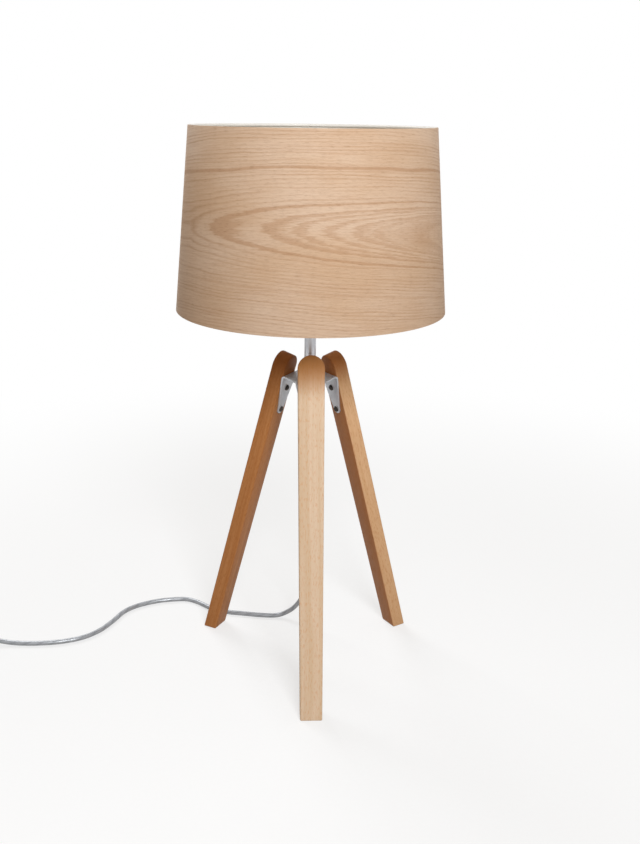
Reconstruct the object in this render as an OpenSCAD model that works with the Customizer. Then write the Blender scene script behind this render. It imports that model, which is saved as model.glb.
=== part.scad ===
// Table lamp on three flat wooden legs, with a tapered drum shade of wood veneer,
// a screw-base lampholder, an inline rocker switch and a mains cord with its plug.
// Millimetres, +Z up, origin on the floor under the middle of the hub, front leg towards -Y.

/* [Tripod] */
// Height of the top face of the hub plate above the floor
hub_z = 361; // [300:1:440]
// Distance from the lamp's axis to the inner faces of the legs, at the hub plate
hub_reach = 27.2; // [24:0.1:36]
// Lean of the legs from upright, in degrees
leg_lean = 15.8; // [12:0.1:19]
// Height of the centres of the rear legs' round tops above the hub plate
leg_top_rise = 11.4; // [8:0.1:20]
// How much higher the front leg stands than the two others
front_leg_raise = 8; // [0:0.5:15]
// Width of a leg at its round top
leg_top_w = 30; // [24:0.5:36]
// Width of a leg at the floor
leg_foot_w = 25; // [18:0.5:34]
// Thickness of a leg
leg_t = 17; // [14:0.5:22]

/* [Hub bracket] */
// Thickness of the bracket's sheet metal
hub_sheet = 2; // [1.5:0.1:3]
// Outer radius of the bends between the plate and its tabs
hub_bend_r = 4; // [3:0.1:6]
// Width of a tab at its bend
hub_tab_w = 34; // [26:0.5:38]
// Width of a tab at its round end
hub_tab_tip_w = 12; // [10:0.5:16]
// Depth of a tab's end below the plate's top face
hub_tab_drop = 50.5; // [46:0.5:60]
// Depth of the upper screws below the plate's top face
upper_screw_drop = 17.5; // [14:0.5:24]
// Depth of the lower screws below the plate's top face
lower_screw_drop = 45; // [38:0.5:46]
// Diameter of a wood screw's shank
screw_d = 3.5; // [3:0.1:4.5]
// Length of a wood screw's shank
screw_l = 14; // [10:0.5:15]
// Diameter of a wood screw's head
screw_head_d = 7; // [6:0.1:8.5]
// Height of a wood screw's head
screw_head_t = 2.4; // [1.6:0.1:3]

/* [Stem] */
// Outer diameter of the threaded tube
rod_d = 10; // [8:0.5:12]
// Bore of the threaded tube
rod_bore = 7; // [6.5:0.1:7.5]
// Outer diameter of the sleeve over the threaded tube
sleeve_d = 13; // [12:0.5:18]
// Length of the sleeve
sleeve_l = 85; // [60:1:120]
// Thickness of the hub washer
washer_t = 1.5; // [1:0.1:2.5]
// Diameter of the hub washer
washer_d = 20; // [17:0.5:26]
// Width across the flats of the locknut
nut_flats = 14; // [13:0.5:17]
// Thickness of the locknut
nut_t = 3; // [2:0.1:6]

/* [Lampholder and bulb] */
// Outer diameter of the lampholder's threaded body
holder_d = 39.5; // [38:0.1:42]
// Diameter of the shoulder that carries the shade
flange_d = 48; // [45:0.5:52]
// Inner diameter of the lampholder's screw shell
shell_bore = 26.6; // [26.5:0.1:27.5]
// Outer diameter of the shade ring
ring_d = 54; // [48:0.5:56]
// Height of the shade ring
ring_h = 7; // [5:0.5:10]
// Diameter of the bulb
bulb_d = 60; // [45:1:80]
// Height of the bulb's crown above its foot contact
bulb_l = 105; // [90:1:130]

/* [Shade] */
// Diameter of the shade at its bottom rim
shade_bottom_d = 300; // [240:1:360]
// Diameter of the shade at its top rim
shade_top_d = 264; // [200:1:320]
// Height of the shade
shade_h = 195; // [150:1:240]
// Depth of the bottom rim below the seat on the lampholder's shoulder
shade_drop = 37; // [10:1:60]
// Thickness of the veneer
veneer_t = 0.8; // [0.5:0.1:1.5]
// Thickness of the white lining
lining_t = 0.5; // [0.3:0.1:1]
// Diameter of the wire rings inside the rims
wire_d = 3; // [2:0.1:4]
// Diameter of the three spider arms
arm_d = 4; // [3:0.1:5]
// Outer diameter of the spider's fitter ring
fitter_d = 64; // [60:0.5:72]
// Thickness of the fitter ring
fitter_t = 1.5; // [1:0.1:2.5]

/* [Cord] */
// Diameter of the mains cord
cord_d = 6; // [5:0.1:6]
// Diameter of the cord grip
grip_d = 15; // [13:0.5:20]
// Height of the cord grip
grip_h = 18; // [15:0.5:26]
// Length of the tapered cord relief
relief_l = 25; // [20:0.5:40]
// Radius of the coil's outermost turn
coil_r = 38; // [37:0.1:45]
// Distance between neighbouring turns and layers of the coil
coil_pitch = 6.6; // [6.5:0.1:7.5]

/* [Switch and plug] */
// Length of the switch
switch_l = 60; // [50:1:70]
// Width of the switch
switch_w = 26; // [24:1:34]
// Height of the switch
switch_h = 20; // [18:0.5:26]
// Wall of the switch's halves
switch_wall = 2; // [1.5:0.1:2.5]
// Full swing of the rocker, in degrees
rocker_swing = 20; // [14:1:24]
// Width of the plug
plug_w = 35; // [30:1:40]
// Thickness of the plug
plug_t = 14; // [12:0.5:18]
// Length of the plug's body
plug_l = 34; // [28:1:42]
// Diameter of the plug's pins
pin_d = 4; // [4:0.1:5]
// Distance between the pins
pin_gap = 19; // [17:0.5:20]
// Length of the pins outside the body
pin_l = 19; // [15:0.5:22]

/* [Hidden] */
$fn = 96;

// Clearances: flat faces screwed together, round pieces that slide or turn in each other,
// pieces in wider holes, stacked pieces
touch = 0.02;
fit = 0.05;
free = 0.25;
seat_gap = 0.1;
// Reach of a cut past the face that it opens
over = 1;

// Legs
leg_azimuths = [-90, 30, 150];
leg_length = (hub_z + leg_top_rise) / cos(leg_lean);
foot_radius = hub_reach + leg_t / cos(leg_lean) + hub_z * tan(leg_lean);
screw_drops = [upper_screw_drop, lower_screw_drop];

// Hub bracket: where its bends turn, measured out from the axis
bend_z = hub_z - hub_bend_r;
bend_reach = hub_reach - touch + hub_bend_r * (tan(leg_lean) - 1 / cos(leg_lean));
tab_tip_y = tab_y(hub_tab_drop) + hub_tab_tip_w / 2;
plate_hole_d = rod_d + 2 * free;
plate_corner_inset = 0.6;

// Stack under the plate, from the top down
washer_z = hub_z - hub_sheet - washer_t;
nut_z = washer_z - nut_t;
grip_z = nut_z - grip_h;
relief_z = grip_z - relief_l;
rod_foot_z = nut_z - 8.5;
relief_top_d = 10;
relief_tip_d = 7.6;
cord_bore = cord_d + 2 * 0.1;
grip_screw_d = 3;
grip_screw_z = grip_z + 5;

// Lampholder, from the sleeve up
holder_z = hub_z + sleeve_l;
neck_h = 10;
cap_h = 24;
holder_h = 56;
seat_z = holder_z + 32;
flange_t = 2.5;
holder_wall = 2.3;
insert_z = holder_z + 21;
insert_t = 7;
shell_z = insert_z + insert_t;
shell_wall = 0.7;
lip_t = 1.8;
lip_z = holder_z + holder_h - lip_t;
rod_top_z = holder_z + neck_h;
cable_top_z = rod_top_z + 2;
terminal_x = 9;
terminal_d = 3;
terminal_head_d = 5.5;
terminal_head_t = 2;
core_d = 2.2;
contact_post_d = 3;

// Bulb, from its foot contact up
bulb_z = shell_z + 3;
bulb_cap_d = shell_bore - 4 * fit;
bulb_cap_z = bulb_z + 5;
bulb_cap_h = 22;
bulb_cap_wall = 0.4;
bulb_neck_d = bulb_cap_d - 2 * bulb_cap_wall - 2 * fit;
bulb_globe_z = bulb_z + bulb_l - bulb_d / 2;
foot_contact_t = 1.5;
glass_t = 1;
bulb_shoulder_angle = 48;

// Shade, from its seat down and up
fitter_z = seat_z + seat_gap;
ring_z = fitter_z + fitter_t + seat_gap;
shade_z = seat_z - shade_drop;
shade_slope = (shade_bottom_d - shade_top_d) / 2 / shade_h;
wire_inset = 0.2;
arm_azimuths = [90, 210, 330];
bottom_ring_z = shade_z + wire_d / 2 + wire_inset;
notch_lip = 0.7;
fitter_bore = holder_d + 2 * free;

// Cord on the floor, behind the front leg and past the left foot, up to the switch
floor_z = 3.1;
switch_x = -460;
switch_y = 22;
switch_axis_z = 9;
cord_socket = 4;
run_route = [
    [0, 0, relief_z], [0, 0, 303], [0, 0, 294], [1, 2, 276], [4, 6, 252], [8, 11, 228],
    [13, 17, 200], [17, 25, 168], [18, 34, 135], [15, 44, 102], [8, 55, 70], [-2, 66, 42],
    [-13, 75, 20], [-27, 81, 7],
    [-41, 82, floor_z], [-62, 84, floor_z], [-82, 88, floor_z], [-102, 92, floor_z],
    [-118, 98, floor_z], [-131, 107, floor_z], [-147, 121, floor_z], [-164, 129, floor_z],
    [-190, 127, floor_z], [-210, 121, floor_z], [-230, 110, floor_z], [-244, 95, floor_z],
    [-255, 71, floor_z], [-269, 47, floor_z], [-289, 30, floor_z], [-315, 21, floor_z],
    [-345, 18, floor_z], [-370, 19, 3.4], [-390, 21, 5.4], [-406, 22, 8],
    [-420, 22, 9], [-427, 22, 9], [-434, 22, 9]
];
lead_route = [
    [-486, 22, 9], [-492, 22, 9], [-498, 22, 9], [-508, 20, 8.2], [-516, 14, 7], [-521, 6, 5.8],
    [-523, -4, 4.7], [-523, -16, 4], [-523, -28, 3.7], [-523, -40, 3.7], [-523, -46, 3.7], [-523, -52, 3.7]
];
tail_route = [
    [-479, -96, 10.3], [-474, -96, 10.3], [-469, -96, 10.3], [-461, -97, 9.5], [-454, -98, 8.2],
    [-447, -98, 7.2], [-444, -98, 7], [-442, -98, 7], [-440, -98, 7]
];
route_steps = 2;
cord_sides = 10;

// Coil: spirals in on the lower layer and out again on the upper one
coil_x = -485;
coil_y = -58;
coil_z = 3.7;
coil_turns = 4.25;
coil_start = 180;
loop_rings = 24;
loop_sides = 6;
climb_turns = 0.5;
tie_t = 0.5;
tie_w = 5;
tie_azimuth = 60;

// Switch
split_z = switch_axis_z;
post_x = 19;
post_y = 7;
post_d = 5;
switch_screw_d = 2.4;
switch_screw_head_d = 4.4;
pivot_z = switch_h - 3;
pivot_d = 4;
pivot_l = 1.6;
rocker_r = 9.5;
rocker_w = 10;
rocker_rim = 3.2;
rocker_dip = 1.5;
rocker_foot = 3;
well_rim = 3;
well_h = 7;
blade_t = 0.8;
blade_h = 5;

// Plug
plug_x = -422;
plug_y = -98;
plug_relief_l = 22;
plug_relief_d = 11;
plug_relief_tip_d = 8;
pin_root = 9;
plug_edge = 1.5;

function unit(v) = v / norm(v);
function turned(p, angle) = [p.x * cos(angle) - p.y * sin(angle), p.x * sin(angle) + p.y * cos(angle)];
// Place along a tab, below its bend, of the point that lies drop below the plate's top face
function tab_y(drop) = -(drop - hub_bend_r * (1 - sin(leg_lean))) / cos(leg_lean);
// Inner radius of the lined shade at height z
function shade_inner_r(z) = shade_bottom_d / 2 - (z - shade_z) * shade_slope - veneer_t - lining_t;
function wire_ring_r(z) = shade_inner_r(z) - wire_d / 2 * norm([1, shade_slope]) - fit;
function arc(r, from, to, steps) = [for (i = [0:steps])
    let (a = from + (to - from) * i / steps) r * [cos(a), sin(a)]];

// A smooth curve through the points of a route, with steps rings to each stretch
function knot(route, i) =
    i < 0 ? 2 * route[0] - route[1]
    : i >= len(route) ? 2 * route[len(route) - 1] - route[len(route) - 2]
    : route[i];
function between(a, b, c, d, t) =
    (2 * b + (c - a) * t + (2 * a - 5 * b + 4 * c - d) * t * t + (3 * b - a - 3 * c + d) * t * t * t) / 2;
function smooth(route, steps) = concat(
    [for (i = [0:len(route) - 2]) for (k = [0:steps - 1])
        between(knot(route, i - 1), knot(route, i), knot(route, i + 1), knot(route, i + 2), k / steps)],
    [route[len(route) - 1]]);
function tangents(p) = [for (i = [0:len(p) - 1]) unit(p[min(i + 1, len(p) - 1)] - p[max(i - 1, 0)])];
function carried(normal, tangent) = unit(normal - (normal * tangent) * tangent);
function normals(t, last, i = 0) =
    i == len(t) ? [] : let (n = carried(last, t[i])) concat([n], normals(t, n, i + 1));
function route_length(p, i = 1) = i == len(p) ? 0 : norm(p[i] - p[i - 1]) + route_length(p, i + 1);

// The coil's centre line: its radius falls at a steady rate to the middle and rises again
function coil_radius(turn) = coil_r - coil_pitch * (coil_turns / 2 - abs(turn - coil_turns / 2));
function coil_rise(turn) = coil_pitch * max(0, min(1, 0.5 + (turn - coil_turns / 2) / climb_turns));
function coil_point(turn) = let (a = coil_start + 360 * turn, r = coil_radius(turn))
    [coil_x + r * cos(a), coil_y + r * sin(a), coil_z + coil_rise(turn)];
coil_steps = coil_turns * loop_rings;
coil_turns_line = [for (i = [0:coil_steps]) coil_point(i / loop_rings)];
coil_line = concat([lead_route[len(lead_route) - 1]], coil_turns_line, [tail_route[0]]);
coil_gap = min([for (i = [0:coil_steps]) for (j = [i + loop_rings / 2:1:coil_steps])
    norm(coil_turns_line[i] - coil_turns_line[j])]) - cord_d;
cord_total = route_length(smooth(run_route, route_steps)) + route_length(smooth(lead_route, route_steps))
    + route_length(coil_line) + route_length(smooth(tail_route, route_steps)) + switch_l - 2 * cord_socket;
echo(str("Least gap between the turns of the coil: ", coil_gap, " mm"));
echo(str("Length of the cord from its relief to the plug: ", cord_total, " mm"));

module ring(outer_d, inner_d, z, h) {
    translate([0, 0, z]) difference() {
        cylinder(d = outer_d, h = h);
        translate([0, 0, -over]) cylinder(d = inner_d, h = h + 2 * over);
    }
}

module rod(from, to, d) {
    v = to - from;
    translate(from) rotate([0, acos(v.z / norm(v)), atan2(v.y, v.x)]) cylinder(d = d, h = norm(v));
}

module cord_tube(centres, first_normal, sides) {
    t = tangents(centres);
    n = normals(t, first_normal);
    last = len(centres) - 1;
    points = [for (i = [0:last]) for (k = [0:sides - 1])
        let (a = 360 * k / sides) centres[i] + cord_d / 2 * (cos(a) * n[i] + sin(a) * cross(t[i], n[i]))];
    walls = [for (i = [0:last - 1]) for (k = [0:sides - 1])
        let (p = i * sides + k, q = i * sides + (k + 1) % sides)
        each [[p, p + sides, q + sides], [p, q + sides, q]]];
    foot = [for (k = [1:sides - 2]) [0, k, k + 1]];
    head = [for (k = [1:sides - 2]) [last * sides, last * sides + k + 1, last * sides + k]];
    polyhedron(points = points, faces = concat(walls, foot, head));
}

// Draws its children on a leg's own axes: x across it, y up its outer face, z out of that face
module on_leg(azimuth) {
    rotate([0, 0, azimuth + 90]) translate([0, -foot_radius, 0]) rotate([90 - leg_lean, 0, 0]) children();
}

// Draws its children on a leg's inner face: y up from the end of the bend, z into the leg
module on_tab(azimuth) {
    rotate([0, 0, azimuth + 90]) translate([0, -bend_reach, bend_z]) rotate([90 - leg_lean, 0, 0])
        translate([0, 0, hub_bend_r]) children();
}

module leg(azimuth, raise) {
    top_s = leg_length + raise / cos(leg_lean);
    flare = (leg_top_w - leg_foot_w) / 2 / top_s;
    top_half = leg_top_w / 2;
    low_half = leg_foot_w / 2 - leg_t * flare;
    difference() {
        on_leg(azimuth) translate([0, 0, -leg_t]) linear_extrude(leg_t) {
            polygon([[-low_half, -leg_t], [low_half, -leg_t], [top_half, top_s], [-top_half, top_s]]);
            translate([0, top_s]) circle(r = top_half);
        }
        rotate([0, 0, azimuth]) translate([0, -leg_foot_w, -2 * leg_t])
            cube([2 * foot_radius, 2 * leg_foot_w, 2 * leg_t]);
        on_tab(azimuth) for (drop = screw_drops) translate([0, tab_y(drop), -over])
            cylinder(d = screw_d + 2 * fit, h = screw_l - hub_sheet + over + free);
    }
}

module leg_front() { color("#DDC0A0") leg(leg_azimuths[0], front_leg_raise); }
module leg_left() { color("#9A6A42") leg(leg_azimuths[2], 0); }
module leg_right() { color("#C69A68") leg(leg_azimuths[1], 0); }

// Outline of a tab, drawn on past its bend at the same taper
module hub_tab_outline() {
    past_bend = 30;
    wide_half = hub_tab_w / 2 + (hub_tab_w - hub_tab_tip_w) / 2 * past_bend / -tab_tip_y;
    polygon([
        [-wide_half, past_bend], [-hub_tab_tip_w / 2, tab_tip_y],
        [hub_tab_tip_w / 2, tab_tip_y], [wide_half, past_bend]
    ]);
    translate([0, tab_tip_y]) circle(d = hub_tab_tip_w);
}

// Side view of the sheet from under the plate's middle, round the bend and down a tab
module hub_sheet_profile() {
    root = bend_reach * 0.6;
    tab_l = hub_tab_w - tab_tip_y;
    outer = arc(hub_bend_r, 90, leg_lean, 10);
    inner = arc(hub_bend_r - hub_sheet, leg_lean, 90, 10);
    down = tab_l * [sin(leg_lean), -cos(leg_lean)];
    centre = [bend_reach, bend_z];
    polygon(concat(
        [[root, hub_z]], [for (p = outer) centre + p], [centre + outer[10] + down, centre + inner[0] + down],
        [for (p = inner) centre + p], [[root, hub_z - hub_sheet]]));
}

module hub_arm(azimuth) {
    depth = 2 * bend_reach;
    intersection() {
        rotate([0, 0, azimuth]) rotate([90, 0, 0])
            linear_extrude(hub_tab_w, center = true) hub_sheet_profile();
        on_tab(azimuth) translate([0, 0, -depth]) linear_extrude(depth + over) hub_tab_outline();
    }
}

module hub_bracket() {
    corner = [hub_tab_w / 2, bend_reach] - plate_corner_inset * [1, 1];
    plate = [for (a = leg_azimuths) for (side = [-1, 1]) turned([side * corner.x, -corner.y], a + 90)];
    color("#A9ABB2") difference() {
        union() {
            translate([0, 0, hub_z - hub_sheet]) linear_extrude(hub_sheet) polygon(plate);
            for (a = leg_azimuths) hub_arm(a);
        }
        translate([0, 0, hub_z - hub_sheet - over]) cylinder(d = plate_hole_d, h = hub_sheet + 2 * over);
        for (a = leg_azimuths) on_tab(a) for (drop = screw_drops)
            translate([0, tab_y(drop), -hub_sheet - over])
                cylinder(d = screw_d + 2 * free, h = hub_sheet + 2 * over);
    }
}

// Pan head with a cross recess; its shank points along +z
module wood_screw() {
    recess_l = screw_head_d * 0.56;
    recess_w = 1;
    recess_depth = 1.3;
    difference() {
        union() {
            cylinder(d = screw_d, h = screw_l);
            rotate_extrude() polygon([
                [0, 0], [screw_head_d / 2, 0], [screw_head_d / 2, -screw_head_t * 0.4],
                [screw_head_d * 0.36, -screw_head_t * 0.85], [0, -screw_head_t]
            ]);
        }
        for (turn = [0, 90]) rotate([0, 0, turn])
            translate([-recess_l / 2, -recess_w / 2, -screw_head_t - over])
                cube([recess_l, recess_w, recess_depth + over]);
    }
}

module leg_screws() {
    color("#26221F") for (a = leg_azimuths) on_tab(a) for (drop = screw_drops)
        translate([0, tab_y(drop), -hub_sheet]) wood_screw();
}

module threaded_tube() { color("#B9BBC0") ring(rod_d, rod_bore, rod_foot_z, rod_top_z - rod_foot_z); }
module stem_sleeve() { color("#CDD0D8") ring(sleeve_d, rod_d + 2 * free, hub_z, sleeve_l); }
module hub_washer() { color("#B9BBC0") ring(washer_d, plate_hole_d, washer_z, washer_t); }

module hub_locknut() {
    color("#B9BBC0") translate([0, 0, nut_z]) difference() {
        cylinder(d = nut_flats / cos(30), h = nut_t, $fn = 6);
        translate([0, 0, -over]) cylinder(d = rod_d + 2 * fit, h = nut_t + 2 * over);
    }
}

module cord_grip() {
    color("#1C1C1E") difference() {
        translate([0, 0, grip_z]) cylinder(d = grip_d, h = grip_h);
        translate([0, 0, grip_z - over]) cylinder(d = cord_bore, h = grip_h + 2 * over);
        translate([0, 0, rod_foot_z - free]) cylinder(d = rod_d + 2 * fit, h = grip_h);
        translate([0, 0, grip_screw_z]) rotate([0, 90, 0]) cylinder(d = grip_screw_d + 2 * fit, h = grip_d);
    }
}

module grip_screw() {
    screw_x = cord_bore / 2;
    color("#7D7F84") translate([screw_x, 0, grip_screw_z]) rotate([0, 90, 0]) difference() {
        cylinder(d = grip_screw_d, h = grip_d / 2 - screw_x);
        translate([-grip_screw_d / 2, -0.3, grip_d / 2 - screw_x - 0.8]) cube([grip_screw_d, 0.6, over]);
    }
}

module cord_relief() {
    color("#1C1C1E") difference() {
        translate([0, 0, relief_z]) cylinder(d1 = relief_tip_d, d2 = relief_top_d, h = relief_l);
        translate([0, 0, relief_z - over]) cylinder(d = cord_bore, h = relief_l + 2 * over);
    }
}

module stem_cable() {
    color("#8E929A") translate([0, 0, relief_z]) cylinder(d = cord_d, h = cable_top_z - relief_z);
}

module holder_cap() {
    neck_r = rod_d / 2 + fit;
    rim_r = holder_d / 2 + 0.8;
    color("#202022") translate([0, 0, holder_z]) rotate_extrude() polygon([
        [neck_r, 0], [11, 0], [12, 1], [13.5, 8], [rim_r - 1.5, 14], [rim_r, 16.5], [rim_r, cap_h],
        [rim_r - holder_wall, cap_h], [rim_r - holder_wall, 17.5],
        [11.5, neck_h + 0.5], [neck_r, neck_h + 0.5]
    ]);
}

module holder_body() {
    r = holder_d / 2;
    spigot_r = r + 0.8 - holder_wall - fit;
    bore_r = r - holder_wall;
    lip_r = shell_bore / 2 + 1.2;
    foot_z = holder_z + cap_h - 4;
    color("#202022") rotate_extrude() polygon([
        [bore_r, foot_z], [spigot_r, foot_z], [spigot_r, holder_z + cap_h + fit], [r, holder_z + cap_h + fit],
        [r, seat_z - flange_t], [flange_d / 2, seat_z - flange_t], [flange_d / 2, seat_z], [r, seat_z],
        [r, lip_z + lip_t], [lip_r, lip_z + lip_t], [lip_r, lip_z], [bore_r, lip_z]
    ]);
}

module holder_insert() {
    color("#E8E4DA") difference() {
        translate([0, 0, insert_z]) cylinder(d = holder_d - 2 * holder_wall - 2 * fit, h = insert_t);
        translate([0, 0, insert_z - over]) cylinder(d = contact_post_d + 2 * fit, h = insert_t + 2 * over);
        for (x = [-terminal_x, terminal_x]) translate([x, 0, insert_z - over])
            cylinder(d = terminal_d + 2 * fit, h = insert_t - 2 + over);
    }
}

module thread_shell() {
    color("#C9A24E") ring(shell_bore + 2 * shell_wall, shell_bore, shell_z, lip_z - shell_z - seat_gap);
}

module centre_contact() {
    color("#C9A24E") {
        translate([0, 0, insert_z - 2]) cylinder(d = contact_post_d, h = insert_t + 2.5);
        translate([-5, -2, shell_z]) cube([10, 4, 0.6]);
        translate([0, 0, shell_z + 0.5]) cylinder(d = 5, h = bulb_z - shell_z - 0.5 - seat_gap);
    }
}

module terminal_screws() {
    color("#C9A24E") for (x = [-terminal_x, terminal_x]) {
        translate([x, 0, insert_z - free]) cylinder(d = terminal_d, h = insert_t - 2);
        translate([x, 0, insert_z - free - terminal_head_t])
            cylinder(d = terminal_head_d, h = terminal_head_t + fit);
    }
}

module mains_cores() {
    colours = ["#7A4A2A", "#3E6FA8"];
    for (i = [0, 1]) {
        side = 2 * i - 1;
        color(colours[i]) rod(
            [side * 1.5, 0, cable_top_z + core_d / 2],
            [side * (terminal_x - 1.5), 0, insert_z - free - terminal_head_t - core_d / 2], core_d);
    }
}

module shade_ring() {
    grooves = 24;
    groove_d = 2;
    color("#202022") difference() {
        ring(ring_d, holder_d + 2 * fit, ring_z, ring_h);
        for (i = [0:grooves - 1]) rotate([0, 0, 360 * i / grooves])
            translate([ring_d / 2 + groove_d / 5, 0, ring_z - over])
                cylinder(d = groove_d, h = ring_h + 2 * over);
    }
}

// Outline of the glass: a ball that runs down into a narrow neck, from the crown to the neck's end
function glass_line(inset) = let (
    r = bulb_d / 2 - inset,
    neck_r = bulb_neck_d / 2 - inset,
    ball = [for (p = arc(r, 90, -bulb_shoulder_angle, 24)) [p.x, p.y + bulb_globe_z]],
    last = ball[len(ball) - 1],
    neck_z = bulb_cap_z + bulb_cap_h - 4)
    concat([[0, bulb_globe_z + r]], [for (i = [1:len(ball) - 1]) ball[i]],
        [[(last.x + neck_r) / 2 - 1, last.y - 9], [neck_r, bulb_cap_z + bulb_cap_h + 2], [neck_r, neck_z]]);

module bulb_glass() {
    outer = glass_line(0);
    inner = glass_line(glass_t);
    color("#F4F1EA") rotate_extrude() polygon(concat(outer, [for (i = [len(inner) - 1:-1:0]) inner[i]]));
}

module bulb_cap() {
    color("#B9BBC0") ring(bulb_cap_d, bulb_cap_d - 2 * bulb_cap_wall, bulb_cap_z, bulb_cap_h);
}

module bulb_insulator() {
    color("#1A1A1C") translate([0, 0, bulb_z + foot_contact_t])
        cylinder(d1 = 11, d2 = bulb_cap_d - 2, h = bulb_cap_z - bulb_z - foot_contact_t);
}

module bulb_contact() {
    color("#C9A24E") translate([0, 0, bulb_z]) cylinder(d1 = 8, d2 = 9.6, h = foot_contact_t);
}

module bulb_emitter() {
    color("#F0D060") {
        translate([0, 0, bulb_cap_z]) cylinder(d = bulb_cap_d - 3, h = 8);
        translate([0, 0, bulb_cap_z + 7]) cylinder(d = 8, h = bulb_globe_z - bulb_cap_z - 7);
        translate([0, 0, bulb_globe_z - 1]) cylinder(d = 20, h = 2);
    }
}

module shade_shell(inset, thickness) {
    bottom_r = shade_bottom_d / 2 - inset;
    top_r = shade_top_d / 2 - inset;
    translate([0, 0, shade_z]) rotate_extrude() polygon([
        [bottom_r - thickness, 0], [bottom_r, 0], [top_r, shade_h], [top_r - thickness, shade_h]
    ]);
}

module wire_ring(z, gap = 0) {
    rotate_extrude() translate([wire_ring_r(z), z]) circle(d = wire_d + 2 * gap, $fn = 32);
}

module shade_veneer() { color("#D6B595") shade_shell(0, veneer_t); }
module shade_lining() { color("#F2F0EC") shade_shell(veneer_t, lining_t); }
module shade_top_ring() { color("#E8E6E2") wire_ring(shade_z + shade_h - wire_d / 2 - wire_inset); }
module shade_bottom_ring() { color("#E8E6E2") wire_ring(bottom_ring_z); }

// Fitter ring with three arms, whose ends are notched round the bottom wire ring
module shade_spider() {
    arm_root_r = fitter_d / 2 - arm_d / 2;
    arm_tip_r = wire_ring_r(bottom_ring_z) - notch_lip;
    color("#E8E6E2") difference() {
        union() {
            ring(fitter_d, fitter_bore, fitter_z, fitter_t);
            for (a = arm_azimuths) rotate([0, 0, a])
                rod([arm_root_r, 0, fitter_z + fitter_t / 2], [arm_tip_r, 0, bottom_ring_z], arm_d);
        }
        wire_ring(bottom_ring_z, free);
    }
}

module cord_run() { color("#8E929A") cord_tube(smooth(run_route, route_steps), [1, 0, 0], cord_sides); }
module cord_lead() { color("#8E929A") cord_tube(smooth(lead_route, route_steps), [0, 0, 1], cord_sides); }
module cord_tail() { color("#8E929A") cord_tube(smooth(tail_route, route_steps), [0, 0, 1], cord_sides); }
module cord_coil() { color("#8E929A") cord_tube(coil_line, [0, 0, 1], loop_sides); }

// Strap round the bundle of turns, on one side of the coil
module coil_tie() {
    inner_r = coil_r - coil_pitch * coil_turns / 2 - cord_d / 2 - 1;
    outer_r = coil_r + cord_d / 2 + 1;
    low_z = coil_z - cord_d / 2 - seat_gap;
    high_z = coil_z + coil_pitch + cord_d / 2 + seat_gap;
    color("#1C1C1E") translate([coil_x, coil_y, 0]) rotate([90, 0, tie_azimuth]) translate([0, 0, -tie_w / 2])
        linear_extrude(tie_w) difference() {
            translate([inner_r - tie_t, low_z - tie_t])
                square([outer_r - inner_r + 2 * tie_t, high_z - low_z + 2 * tie_t]);
            translate([inner_r, low_z]) square([outer_r - inner_r, high_z - low_z]);
        }
}

module at_switch() { translate([switch_x, switch_y, 0]) children(); }

module oblong(l, w, h) {
    linear_extrude(h) {
        square([l - w, w], center = true);
        for (side = [-1, 1]) translate([side * (l - w) / 2, 0]) circle(d = w);
    }
}

// The two blind sockets that the cord's ends sit in
module cord_sockets() {
    for (side = [-1, 1]) translate([side * (switch_l / 2 + over), 0, switch_axis_z])
        rotate([0, -side * 90, 0]) cylinder(d = cord_bore, h = cord_socket + over);
}

module end_blocks(z, h) {
    block_l = cord_socket + 3;
    intersection() {
        translate([0, 0, z]) oblong(switch_l, switch_w, h);
        for (side = [-1, 1]) translate([side * (switch_l - block_l) / 2 - block_l / 2, -switch_w / 2, z])
            cube([block_l, switch_w, h]);
    }
}

module post_places() { for (side = [-1, 1]) translate([side * post_x, side * post_y, 0]) children(); }

module switch_base() {
    color("#1C1C1E") at_switch() difference() {
        union() {
            difference() {
                oblong(switch_l, switch_w, split_z);
                translate([0, 0, switch_wall])
                    oblong(switch_l - 2 * switch_wall, switch_w - 2 * switch_wall, split_z);
            }
            end_blocks(0, split_z);
            post_places() cylinder(d = post_d + 1, h = split_z);
        }
        cord_sockets();
        post_places() {
            translate([0, 0, -over]) cylinder(d = switch_screw_d + 2 * free, h = split_z + 2 * over);
            translate([0, 0, -over]) cylinder(d = switch_screw_head_d + 2 * free, h = over + 2);
        }
    }
}

module switch_cover() {
    cover_h = switch_h - split_z;
    well_l = 2 * (rocker_r + free);
    well_w = rocker_w + 2 * free;
    color("#1C1C1E") at_switch() difference() {
        union() {
            translate([0, 0, split_z]) difference() {
                oblong(switch_l, switch_w, cover_h);
                translate([0, 0, -over]) oblong(
                    switch_l - 2 * switch_wall, switch_w - 2 * switch_wall, cover_h - switch_wall + over);
            }
            end_blocks(split_z, cover_h);
            translate([-well_l / 2 - well_rim, -well_w / 2 - well_rim, switch_h - well_h])
                cube([well_l + 2 * well_rim, well_w + 2 * well_rim, well_h]);
            post_places() translate([0, 0, split_z]) cylinder(d = post_d, h = cover_h);
        }
        cord_sockets();
        translate([-well_l / 2, -well_w / 2, 0]) cube([well_l, well_w, switch_h + over]);
        translate([0, rocker_w / 2 + pivot_l + free, pivot_z]) rotate([90, 0, 0])
            cylinder(d = pivot_d + 2 * fit, h = rocker_w + 2 * (pivot_l + free));
        post_places() translate([0, 0, split_z - over])
            cylinder(d = switch_screw_d + 2 * fit, h = cover_h - switch_wall);
    }
}

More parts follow.
